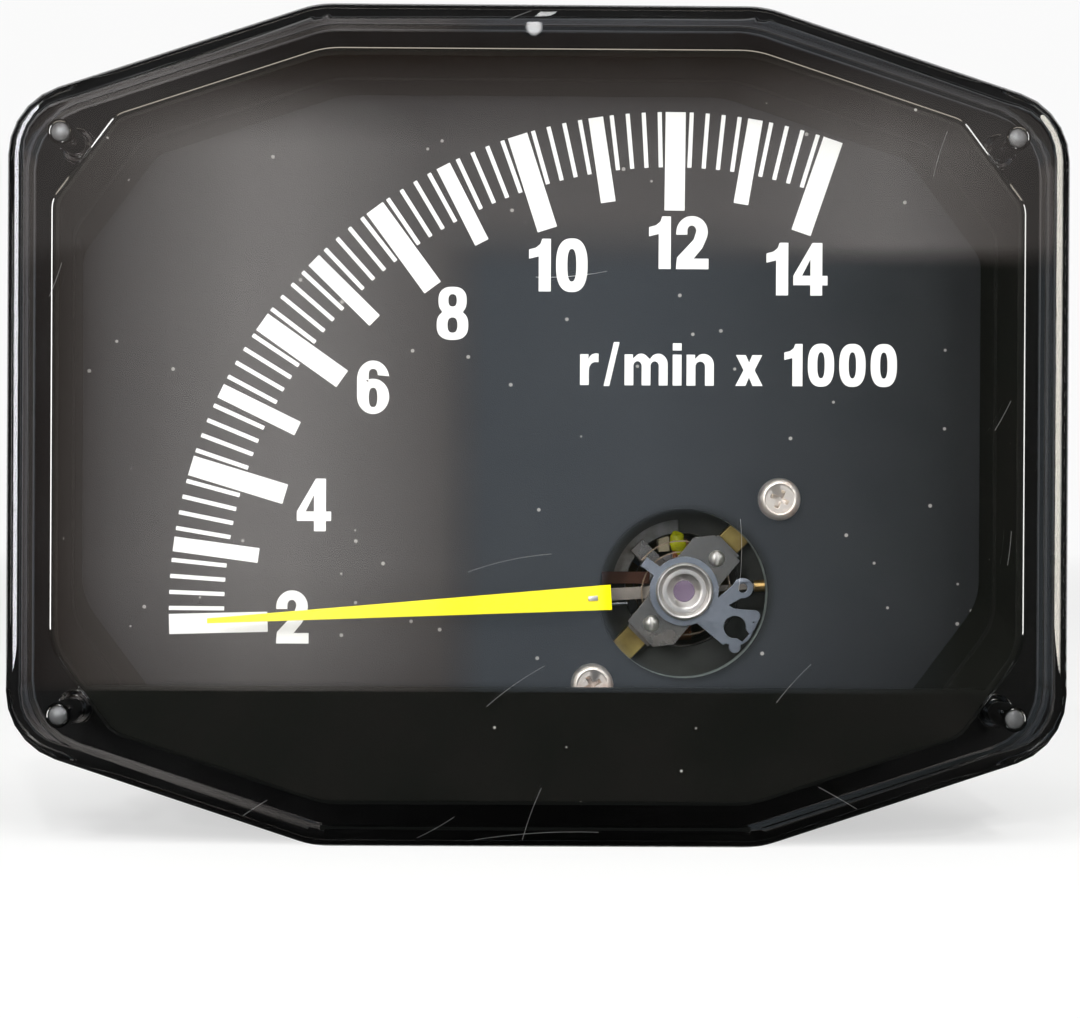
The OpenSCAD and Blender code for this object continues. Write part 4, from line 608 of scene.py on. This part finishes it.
# front and radius of each plain round part, and its length
roundParts = ((studBox[0][1], stud["neckRadius"], caseBack - studBox[0][1]),
              (caseBack, stud["plateRadius"], thickness), (rubberBack, stud["plateRadius"], thickness))
for index, x in enumerate(studMiddles):
    screw = addRod("stud", stud["radius"] * mm, studLength, 40)
    cutLengthwise(screw, 110)
    cutThread(screw, stud, studOutline)
    moveMesh(screw, 0, plateBack - stud["sunk"] * mm, 0)
    parts = [screw]
    for start, radius, length in roundParts:
        plate = addRod("plate", radius * mm, length, 72)
        moveMesh(plate, 0, start, 0)
        roundEdges(plate, stud["plateEdge"], 2, 50)
        parts.append(plate)
    piece = joinPieces(parts, "mounting_stud_%d" % (index + 1))
    moveMesh(piece, x, 0, (studBox[0][2] + studBox[1][2]) / 2)
    finishPiece(piece, "mounting_studs")
    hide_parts("mounting_studs")
print("mounting studs made")

# the coil: fine wire in layers round the former, with a drop of varnish on its front end
coil = {"wire": 0.085, "acrossWires": 9, "layers": 4, "corner": 0.55, "steps": 5, "halfWidth": 5.3, "inset": 0.09,
        "stagger": 0.25}
coilBox = [Vector(corner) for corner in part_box("coil_winding")]
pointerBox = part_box("pointer")
restTurn = math.atan2((pointerBox[0][2] + pointerBox[1][2]) / 2 - pivotZ,
                      (pointerBox[0][0] + pointerBox[1][0]) / 2 - pivotX)


def coilLoop(halfWide, halfDeep, corner):
    points = []
    for sx, sy in ((1, 1), (-1, 1), (-1, -1), (1, -1)):
        start = math.atan2(sy, sx) - math.pi / 4
        for i in range(coil["steps"] + 1):
            a = start + math.pi / 2 * i / coil["steps"]
            points.append((sx * (halfWide - corner) + corner * math.cos(a),
                           sy * (halfDeep - corner) + corner * math.sin(a)))
    return points


def tubeLoops(name, loops, radius):
    curve = bpy.data.curves.new(name, "CURVE")
    curve.dimensions = "3D"
    curve.bevel_depth = radius
    curve.bevel_resolution = 1
    for loop in loops:
        spline = curve.splines.new("POLY")
        spline.points.add(len(loop) - 1)
        for point, place in zip(spline.points, loop):
            point.co = (*place, 1)
        spline.use_cyclic_u = True
    obj = bpy.data.objects.new(name, curve)
    bpy.context.collection.objects.link(obj)
    selectOnly(obj)
    bpy.ops.object.convert(target="MESH")
    return bpy.context.object


wireLoops = []
coilMiddle = (coilBox[0] + coilBox[1]) / 2
outerDeep = (coilBox[1].y - coilBox[0].y) / 2
outerWide = coil["halfWidth"] * mm
for layer in range(coil["layers"]):
    inward = (coil["inset"] + 2 * coil["wire"] * layer) * mm
    shift = coil["stagger"] if layer % 2 else -coil["stagger"]
    for i in range(coil["acrossWires"]):
        across = (i - (coil["acrossWires"] - 1) / 2 + shift) * 2 * coil["wire"] * mm
        flat = coilLoop(outerWide - inward, outerDeep - inward, max(coil["corner"] * mm - inward, 0.1 * mm))
        wireLoops.append([(x, y, across) for x, y in flat])
winding = tubeLoops("coil_wires", wireLoops, coil["wire"] * mm)
winding.data.transform(Matrix.Translation((pivotX, coilMiddle.y, pivotZ))
                       @ Matrix.Rotation(math.pi / 2 - restTurn, 4, "Y"))
finishPiece(winding, "coil_winding")
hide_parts("coil_winding")
print("coil wound with", len(wireLoops), "turns")

varnish = {"size": (0.82, 0.34, 1.25), "from": 4.95, "turn": 95.5, "lumps": (0.12, 5200, 4300),
           "fineLumps": (0.07, 9000)}
deselectAll()
bpy.ops.mesh.primitive_uv_sphere_add(segments=32, ring_count=20, radius=1.0)
drop = bpy.context.object
drop.name = "coil_varnish"
drop.data.transform(Matrix.Diagonal((*[value * mm for value in varnish["size"]], 1)))
lump, xRate, zRate = varnish["lumps"]
fineLump, fineRate = varnish["fineLumps"]
for vertex in drop.data.vertices:
    x, z = vertex.co.x, vertex.co.z
    vertex.co *= 1 + lump * math.sin(xRate * x + 1) * math.sin(zRate * z) + fineLump * math.sin(fineRate * z + 2)
a = math.radians(varnish["turn"])
drop.data.transform(Matrix.Translation((pivotX + varnish["from"] * mm * math.cos(a), coilBox[0].y - 0.02 * mm,
                                        pivotZ + varnish["from"] * mm * math.sin(a)))
                    @ Matrix.Rotation(math.radians(90) - a, 4, "Y"))
finishPiece(drop, "coil_winding", mouldedPlastic("varnishLime", (0.5, 0.52, 0.01), (0.3, 0.3, 0.01), 0.12, 2500, 0.03))
print("varnish drop made")


oval = {"power": 2.5, "points": 48}  # a power of 2 would be an ellipse, and more is squarer


def ovalPoints(x, z, halfW, halfH):
    points = []
    for i in range(oval["points"]):
        a = 2 * math.pi * i / oval["points"]
        c, s = math.cos(a), math.sin(a)
        points.append((x + halfW * math.copysign(abs(c) ** (2 / oval["power"]), c),
                       z + halfH * math.copysign(abs(s) ** (2 / oval["power"]), s)))
    return points


def insideOval(p, x, z, halfW, halfH):
    return abs((p[0] - x) / halfW) ** oval["power"] + abs((p[1] - z) / halfH) ** oval["power"] < 1


def arcPoints(x, z, halfW, halfH, startTurn, endTurn, count=18):
    points = []
    for i in range(count + 1):
        a = math.radians(startTurn + (endTurn - startTurn) * i / count)
        points.append((x + halfW * math.cos(a), z + halfH * math.sin(a)))
    return points


def outerArc(ownOval, otherOval, gapTurn):
    # the part of one oval outside the other, from the end that follows the gap
    arc = [p for p in ovalPoints(*ownOval) if not insideOval(p, *otherOval)]
    turns = [(math.atan2(p[1] - ownOval[1], p[0] - ownOval[0]) - gapTurn) % (2 * math.pi) for p in arc]
    first = turns.index(min(turns))
    return arc[first:] + arc[:first]


def eightOutline():
    upper = (0.3, 0.74, 0.268, 0.262)
    lower = (0.3, 0.275, 0.3, 0.282)
    return outerArc(upper, lower, -math.pi / 2) + outerArc(lower, upper, math.pi / 2)


# each digit is 1 high and starts at 0; its loops are an outline and its holes
digitShapes = {
    "0": (0.6, [ovalPoints(0.3, 0.5, 0.3, 0.51), ovalPoints(0.3, 0.5, 0.085, 0.31)]),
    "1": (0.42, [[(0.185, 0), (0.415, 0), (0.415, 1), (0.25, 1), (0.215, 0.9), (0.13, 0.83), (0.0, 0.795),
                  (0.0, 0.62), (0.185, 0.665)]]),
    "2": (0.62, [[(0.0, 0.0), (0.62, 0.0), (0.62, 0.2), (0.335, 0.2)]
                 + [(0.5, 0.4)] + arcPoints(0.305, 0.705, 0.3, 0.305, -25, 180)
                 + [(0.005, 0.655), (0.215, 0.655)] + arcPoints(0.3, 0.73, 0.085, 0.1, 180, -15)
                 + [(0.335, 0.56), (0.02, 0.22)]]),
    "4": (0.65, [[(0.325, 0), (0.55, 0), (0.55, 0.195), (0.65, 0.195), (0.65, 0.375), (0.55, 0.375), (0.55, 1),
                  (0.36, 1), (0.0, 0.375), (0.0, 0.195), (0.325, 0.195)],
                 [(0.325, 0.375), (0.325, 0.69), (0.165, 0.375)]]),
    "6": (0.62, [arcPoints(0.315, 0.33, 0.305, 0.335, 118, -180, 36)
                 + arcPoints(0.315, 0.66, 0.305, 0.35, 180, 0, 30)
                 + [(0.62, 0.715), (0.4, 0.735)] + arcPoints(0.315, 0.765, 0.085, 0.09, 0, 180)
                 + [(0.23, 0.6)],
                 ovalPoints(0.315, 0.31, 0.082, 0.185)]),
    "8": (0.6, [eightOutline(), ovalPoints(0.3, 0.745, 0.08, 0.118), ovalPoints(0.3, 0.275, 0.095, 0.145)]),
}
# the small letters of the unit line, drawn in the same way
letterShapes = {
    "r": (0.42, [[(0, 0), (0.2, 0), (0.2, 0.36), (0.215, 0.44), (0.26, 0.51), (0.33, 0.545), (0.42, 0.54),
                  (0.42, 0.745), (0.35, 0.75), (0.27, 0.725), (0.215, 0.67), (0.19, 0.61), (0.19, 0.73), (0, 0.73)]]),
    "/": (0.36, [[(0, -0.02), (0.13, -0.02), (0.36, 1.02), (0.23, 1.02)]]),
    "m": (0.98, [[(0, 0), (0.2, 0)] + arcPoints(0.295, 0.46, 0.095, 0.11, 180, 0, 10) + [(0.39, 0), (0.59, 0)]
                 + arcPoints(0.685, 0.46, 0.095, 0.11, 180, 0, 10) + [(0.78, 0), (0.98, 0)]
                 + arcPoints(0.765, 0.5, 0.215, 0.25, 0, 128, 12) + [(0.575, 0.62)]
                 + arcPoints(0.375, 0.5, 0.2, 0.25, 50, 115, 8) + [(0.19, 0.63), (0.19, 0.73), (0, 0.73)]]),
    "i": (0.2, [[(0, 0), (0.2, 0), (0.2, 0.73), (0, 0.73)], [(0, 0.83), (0.2, 0.83), (0.2, 1.0), (0, 1.0)]]),
    "n": (0.62, [[(0, 0), (0.2, 0), (0.2, 0.43)] + arcPoints(0.31, 0.45, 0.11, 0.12, 180, 0, 10)
                 + [(0.42, 0), (0.62, 0)] + arcPoints(0.385, 0.49, 0.235, 0.26, 0, 115, 12)
                 + [(0.19, 0.63), (0.19, 0.73), (0, 0.73)]]),
    "x": (0.62, [[(0, 0), (0.23, 0), (0.31, 0.2), (0.39, 0), (0.62, 0), (0.435, 0.37), (0.61, 0.73), (0.385, 0.73),
                  (0.31, 0.55), (0.235, 0.73), (0.01, 0.73), (0.185, 0.37)]]),
    " ": (0.26, []),
}
digitPrint = {"height": 5.35, "depth": 0.05, "gap": 0.5}
# each number's middle, from the middle of the dial opening's frame, in millimetres
numberPlaces = {"2": (-24.87, -19.37), "4": (-22.72, -7.94), "6": (-16.8, 4.03), "8": (-8.74, 11.62),
                "10": (1.99, 16.57), "12": (14.24, 18.92), "14": (26.29, 16.31)}


def flatShape(name, loops):
    curve = bpy.data.curves.new(name, "CURVE")
    curve.dimensions = "2D"
    curve.fill_mode = "BOTH"
    curve.extrude = digitPrint["depth"] * mm / 2
    for loop in loops:
        spline = curve.splines.new("POLY")
        spline.points.add(len(loop) - 1)
        for point, place in zip(spline.points, loop):
            point.co = (place[0] * mm, place[1] * mm, 0, 1)
        spline.use_cyclic_u = True
    obj = bpy.data.objects.new(name, curve)
    bpy.context.collection.objects.link(obj)
    selectOnly(obj)
    bpy.ops.object.convert(target="MESH")
    bpy.ops.object.mode_set(mode="EDIT")
    bpy.ops.mesh.select_all(action="SELECT")
    bpy.ops.mesh.remove_doubles(threshold=0.001 * mm)
    bpy.ops.mesh.normals_make_consistent(inside=False)
    bpy.ops.object.mode_set(mode="OBJECT")
    bpy.ops.object.shade_flat()
    return bpy.context.object


def finishPrint(obj):
    # stand the flat shape up on the dial, facing forwards
    obj.rotation_euler = (math.pi / 2, 0, 0)
    obj.location = (0, dialY - digitPrint["depth"] * mm / 2, 0)
    selectOnly(obj)
    bpy.ops.object.transform_apply(location=True, rotation=True, scale=True)
    obj.data.materials.clear()
    obj.data.materials.append(materials["white_print"])
    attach(obj, "housing")


def placeText(name, text, middle, height, gap, stretch=1.0):
    shapes = [digitShapes.get(c) or letterShapes[c] for c in text]
    total = sum(width for width, loops in shapes) * height * stretch + gap * (len(text) - 1)
    x = middle[0] - total / 2
    placed = []
    for width, loops in shapes:
        for loop in loops:
            placed.append([(x + p[0] * height * stretch, middle[1] + (p[1] - 0.5) * height) for p in loop])
        x += width * height * stretch + gap
    finishPrint(flatShape(name, placed))


for text, middle in numberPlaces.items():
    placeText("number_" + text, text, middle, digitPrint["height"], digitPrint["gap"])

unitLine = {"text": "r/min x 1000", "middle": (20.4, 6.55), "height": 4.3, "gap": 0.52, "stretch": 1.04}
placeText("unit_line", unitLine["text"], unitLine["middle"], unitLine["height"], unitLine["gap"], unitLine["stretch"])
print("dial print made")

studio = {"width": 7.0, "depth": 5.5, "height": 4, "sweep": 1.0, "color": (0.86, 0.86, 0.85),
          "patch": (0.84, 0.84, 0.83), "glow": (0.5, 0.93), "glowFrom": (0.1, 1.4), "worldLight": 0.42}


def seenByEye(tree):
    # 1 for camera, mirror and see-through rays, 0 for the light that falls on things
    paths = addNode(tree, "ShaderNodeLightPath", {}).outputs
    bounced = mathNode(tree, "MAXIMUM", paths["Is Glossy Ray"], paths["Is Transmission Ray"])
    return mathNode(tree, "MAXIMUM", paths["Is Camera Ray"], bounced)


# a pale floor that sweeps up into a backdrop
deselectAll()
bpy.ops.mesh.primitive_plane_add(size=1)
floor = bpy.context.object
floor.name = "sweep"
floor.data.transform(Matrix.Diagonal((studio["width"], studio["depth"], 1, 1)))
selectEdges(floor, lambda co: co.y > 0)
bpy.ops.mesh.extrude_region_move(TRANSFORM_OT_translate={"value": (0, 0, studio["height"])})
bpy.ops.object.mode_set(mode="OBJECT")
selectEdges(floor, lambda co: co.y > 0 and co.z < 0.1)
bpy.ops.mesh.bevel(offset=studio["sweep"], segments=32, profile=0.5, affect="EDGES")
bpy.ops.object.mode_set(mode="OBJECT")
bpy.ops.object.shade_smooth()
floor.location = (0, 0, cadBox[0][2] - 0.0002)
floorMaterial, floorTree, floorShader = startMaterial("paleSweep")
patches = useGroup(floorTree, surfaceGrain, {"Fineness": 900.0, "Patch Size": 4.0})["Patches"]
setInputs(floorTree, floorShader, {"Base Color": mixColor(floorTree, patches, studio["color"], studio["patch"]),
                                   "Roughness": 0.9, "Specular IOR Level": 0.1})
floorGlow = rampNode(floorTree, objectParts(floorTree)["Y"], *studio["glowFrom"], *studio["glow"])
mixed = addNode(floorTree, "ShaderNodeMixShader", {0: mathNode(floorTree, "MULTIPLY", seenByEye(floorTree), floorGlow),
                                                   1: floorShader.outputs["BSDF"],
                                                   2: addNode(floorTree, "ShaderNodeEmission", {}).outputs["Emission"]})
setInputs(floorTree, floorTree.nodes["Material Output"], {"Surface": mixed.outputs["Shader"]})
floor.data.materials.append(floorMaterial)

world = bpy.data.worlds.new("studioWorld")
bpy.context.scene.world = world
world.use_nodes = True
worldTree = world.node_tree
worldStrength = rampNode(worldTree, seenByEye(worldTree), 0.0, 1.0, studio["worldLight"], 1.0)
setInputs(worldTree, worldTree.nodes["Background"], {"Color": (1, 1, 1), "Strength": worldStrength})

shot = {"distance": 270 * mm, "lens": 91.6, "elevation": 0.3, "side": 0.64, "roll": 0.3,
        "aim": (0.15 * mm, frontY, -8.19 * mm)}

# a soft toned card in front, which the flat window mirrors: warm and lighter to the left and above,
# cool and dark in the middle and to the right, almost black below
toneCard = {"away": 210 * mm, "width": 220 * mm, "height": 190 * mm, "warm": (2.15, 2.0, 1.93),
            "brown": (0.12, 0.07, 0.05), "cool": (0.46, 0.54, 0.63), "low": (0.03, 0.034, 0.028),
            "dark": (0.006, 0.0065, 0.006), "spot": (14.7, -16.5), "spotRadius": 7.9, "spotSoftness": 2}
eye = (shot["aim"][0] - shot["distance"] * math.sin(math.radians(shot["side"])),
       shot["aim"][2] + shot["distance"] * math.sin(math.radians(shot["elevation"])))


def mirroredAt(place, axis):
    # where on the card the eye sees, for a place on the window in millimetres
    return place * mm + (place * mm - eye[axis]) * toneCard["away"] / shot["distance"]


def stepNode(tree, source, axis, low, high, fromValue=0.0, toValue=1.0):
    return rampNode(tree, source, mirroredAt(low, axis), mirroredAt(high, axis), fromValue, toValue)


def bandNode(tree, source, axis, start, full, last, end):
    # rises from start to full, and falls from last to end
    return mathNode(tree, "MULTIPLY", stepNode(tree, source, axis, start, full),
                    stepNode(tree, source, axis, last, end, 1.0, 0.0))


def startCard(name, size, place, turn=0.0):
    # a card that only mirror and see-through rays meet, dark until it is given another colour
    deselectAll()
    bpy.ops.mesh.primitive_plane_add(size=1)
    card = bpy.context.object
    card.name = name
    card.data.transform(Matrix.Rotation(turn, 4, "X") @ Matrix.Diagonal((size[0], size[1], 1, 1)))
    card.location = place
    material = bpy.data.materials.new(name)
    material.use_nodes = True
    tree = material.node_tree
    tree.nodes.remove(tree.nodes["Principled BSDF"])
    glow = addNode(tree, "ShaderNodeEmission", {"Color": toneCard["dark"]})
    setInputs(tree, tree.nodes["Material Output"], {"Surface": glow.outputs["Emission"]})
    card.data.materials.append(material)
    card.visible_camera = card.visible_diffuse = card.visible_shadow = False
    return card, tree, glow


cardTree, glow = startCard("tone_card", (toneCard["width"], toneCard["height"]), (0, frontY - toneCard["away"], 0),
                           math.pi / 2)[1:]
cardParts = objectParts(cardTree)
cardX, cardZ = cardParts["X"], cardParts["Z"]
farRight = stepNode(cardTree, cardX, 0, 16, 31)
softTop = stepNode(cardTree, cardZ, 1, 15.3, 20.9, 1.0, 0.0)
sharpTop = stepNode(cardTree, cardZ, 1, 15.8, 18.2, 1.0, 0.0)
topEdge = addNode(cardTree, "ShaderNodeMix", {0: farRight, 2: softTop, 3: sharpTop}).outputs[0]
inner = mathNode(cardTree, "MULTIPLY", stepNode(cardTree, cardX, 0, -9.9, -5.2), topEdge)
leftPart = mathNode(cardTree, "MULTIPLY", bandNode(cardTree, cardX, 0, -50, -29.2, -24, 0),
                    bandNode(cardTree, cardZ, 1, -38, -14, 27.5, 35))
topPart = mathNode(cardTree, "MULTIPLY", bandNode(cardTree, cardZ, 1, 14.5, 17.9, 27.5, 36.8),
                   bandNode(cardTree, cardX, 0, -62, -38, 34.5, 58))
topPart = mathNode(cardTree, "MULTIPLY", topPart, stepNode(cardTree, cardX, 0, 18, 34, 0.45, 0.72))
warmth = mathNode(cardTree, "MAXIMUM", leftPart, topPart)
warmth = mathNode(cardTree, "MULTIPLY", warmth, mathNode(cardTree, "SUBTRACT", 1.0, inner))
rightTone = mixColor(cardTree, stepNode(cardTree, cardX, 0, 10.5, 42), toneCard["cool"], toneCard["low"])
upperTone = mixColor(cardTree, warmth, mixColor(cardTree, inner, toneCard["brown"], rightTone), toneCard["warm"])
lowerTone = mixColor(cardTree, mathNode(cardTree, "MULTIPLY", leftPart, 0.1), toneCard["low"], toneCard["warm"])
above = stepNode(cardTree, cardZ, 1, -27.0, -25.2)
# a dark disc in it keeps the movement's opening deep
spotMiddle = (mirroredAt(toneCard["spot"][0], 0), 0, mirroredAt(toneCard["spot"][1], 1))
beside = vectorNode(cardTree, "DISTANCE", {0: objectPlace(cardTree), 1: spotMiddle}, "Value")
spotEdge = toneCard["spotRadius"] * mm * (1 + toneCard["away"] / shot["distance"])
outside = rampNode(cardTree, beside, spotEdge, spotEdge + toneCard["spotSoftness"] * mm)
setInputs(cardTree, glow, {"Color": mixColor(cardTree, outside, toneCard["low"],
                                             mixColor(cardTree, above, lowerTone, upperTone))})

# dark cards close the space round the object, with bright strips that draw the lines along the rounded
# edges, and soft glows beside the cover that only its own see-through rays meet
startCard("low_card", (0.64, 0.76), (0, -0.22, cadBox[0][2] + 0.0002))
startCard("front_card", (0.64, 0.7), (0, -0.6, 0.05), math.pi / 2)
backCard = startCard("back_card", (0.64, 0.7), (0, 0.16, 0.05), math.pi / 2)[0]
backCard.visible_glossy = False
startCard("top_card", (0.64, 0.76), (0, -0.22, 0.33))
for name, x in (("left_card", -0.31), ("right_card", 0.31)):
    sideCard = startCard(name, (0.64, 0.76), (x, -0.22, 0.05))[0]
    sideCard.data.transform(Matrix.Rotation(math.pi / 2, 4, "Y"))
# width and length, place, the axis it is turned about, and brightness in red, green and blue
strips = {"left_strip": ((0.5, 0.2), (-0.3, -0.187, 0.06), "Y", (18, 18, 19)),
          "right_strip": ((0.5, 0.36), (0.3, -0.27, 0.02), "Y", (16, 15.4, 13.8)),
          "top_strip": ((0.0035, 0.28), (0.0045, -0.24, 0.32), "", (13, 13, 13)),
          "top_spot": ((0.0032, 0.0032), (0.001, frontY - 0.209, 0.0748), "X", (17, 17, 17)),
          "left_glow": ((0.3, 0.16), (-0.24, -0.03, 0.0), "Y", (1.7, 1.7, 1.66)),
          "right_glow": ((0.3, 0.16), (0.24, -0.03, 0.0), "Y", (1.3, 1.3, 1.25)),
          "top_glow": ((0.5, 0.16), (0, -0.03, 0.24), "", (0.55, 0.5, 0.42))}
fadeOut = (0.28, 0.5)  # where a strip's light begins to fall and where it ends, as shares of its length
for name, (size, place, turn, tone) in strips.items():
    strip, stripTree, stripGlow = startCard(name, size, place)
    if turn:
        strip.data.transform(Matrix.Rotation(math.pi / 2, 4, turn))
    if name == "top_spot":
        reach = vectorNode(stripTree, "LENGTH", {0: objectPlace(stripTree)}, "Value")
    else:
        reach = mathNode(stripTree, "ABSOLUTE", objectParts(stripTree)["Y"])
    strength = rampNode(stripTree, reach, *[share * size[1] for share in fadeOut], tone[0], 0.0)
    setInputs(stripTree, stripGlow, {"Color": (1, tone[1] / tone[0], tone[2] / tone[0]), "Strength": strength})
    strip.visible_transmission = name.endswith("glow")
    strip.visible_glossy = not strip.visible_transmission


# place, size, power in watts, and whether gloss and clear plastic show it
lamps = {"keyLamp": ((-0.46, -0.86, 0.3), (0.26, 0.3), 3.9, True),
         "topLamp": ((0.0, -0.35, 0.9), (0.7, 0.5), 5.0, False),
         "leftLamp": ((-0.8, -0.4, 0.2), (0.3, 0.5), 1.5, False),
         "rightLamp": ((0.8, -0.4, 0.1), (0.3, 0.5), 1.5, False),
         "highSpark": ((0.06, -0.55, 0.6), (0.03, 0.03), 1.0, True),
         "sideSpark": ((0.5, -0.6, 0.3), (0.04, 0.04), 1.0, True),
         "leftSpark": ((-0.25, -0.8, 0.45), (0.03, 0.03), 1.0, True)}
for name, (place, size, power, mirrored) in lamps.items():
    light = bpy.data.lights.new(name, "AREA")
    light.shape = "RECTANGLE"
    light.size, light.size_y = size
    light.energy = power
    lamp = bpy.data.objects.new(name, light)
    bpy.context.collection.objects.link(lamp)
    lamp.location = place
    lamp.rotation_euler = (-Vector(place)).to_track_quat("-Z", "Y").to_euler()
    lamp.visible_glossy = lamp.visible_transmission = mirrored

cameraData = bpy.data.cameras.new("camera")
cameraData.lens = shot["lens"]
cameraData.sensor_width = 36
cameraData.clip_start = 0.01
camera = bpy.data.objects.new("camera", cameraData)
bpy.context.collection.objects.link(camera)
up = math.radians(shot["elevation"])
side = math.radians(shot["side"])
aim = Vector(shot["aim"])
camera.location = aim + shot["distance"] * Vector((-math.sin(side), -math.cos(up), math.sin(up)))
camera.rotation_euler = (Matrix.Rotation(-side, 4, "Z") @ Matrix.Rotation(math.pi / 2 - up, 4, "X")
                         @ Matrix.Rotation(math.radians(shot["roll"]), 4, "Z")).to_euler()
bpy.context.scene.camera = camera
bpy.context.scene.view_settings.view_transform = "Standard"
print("studio and camera made")
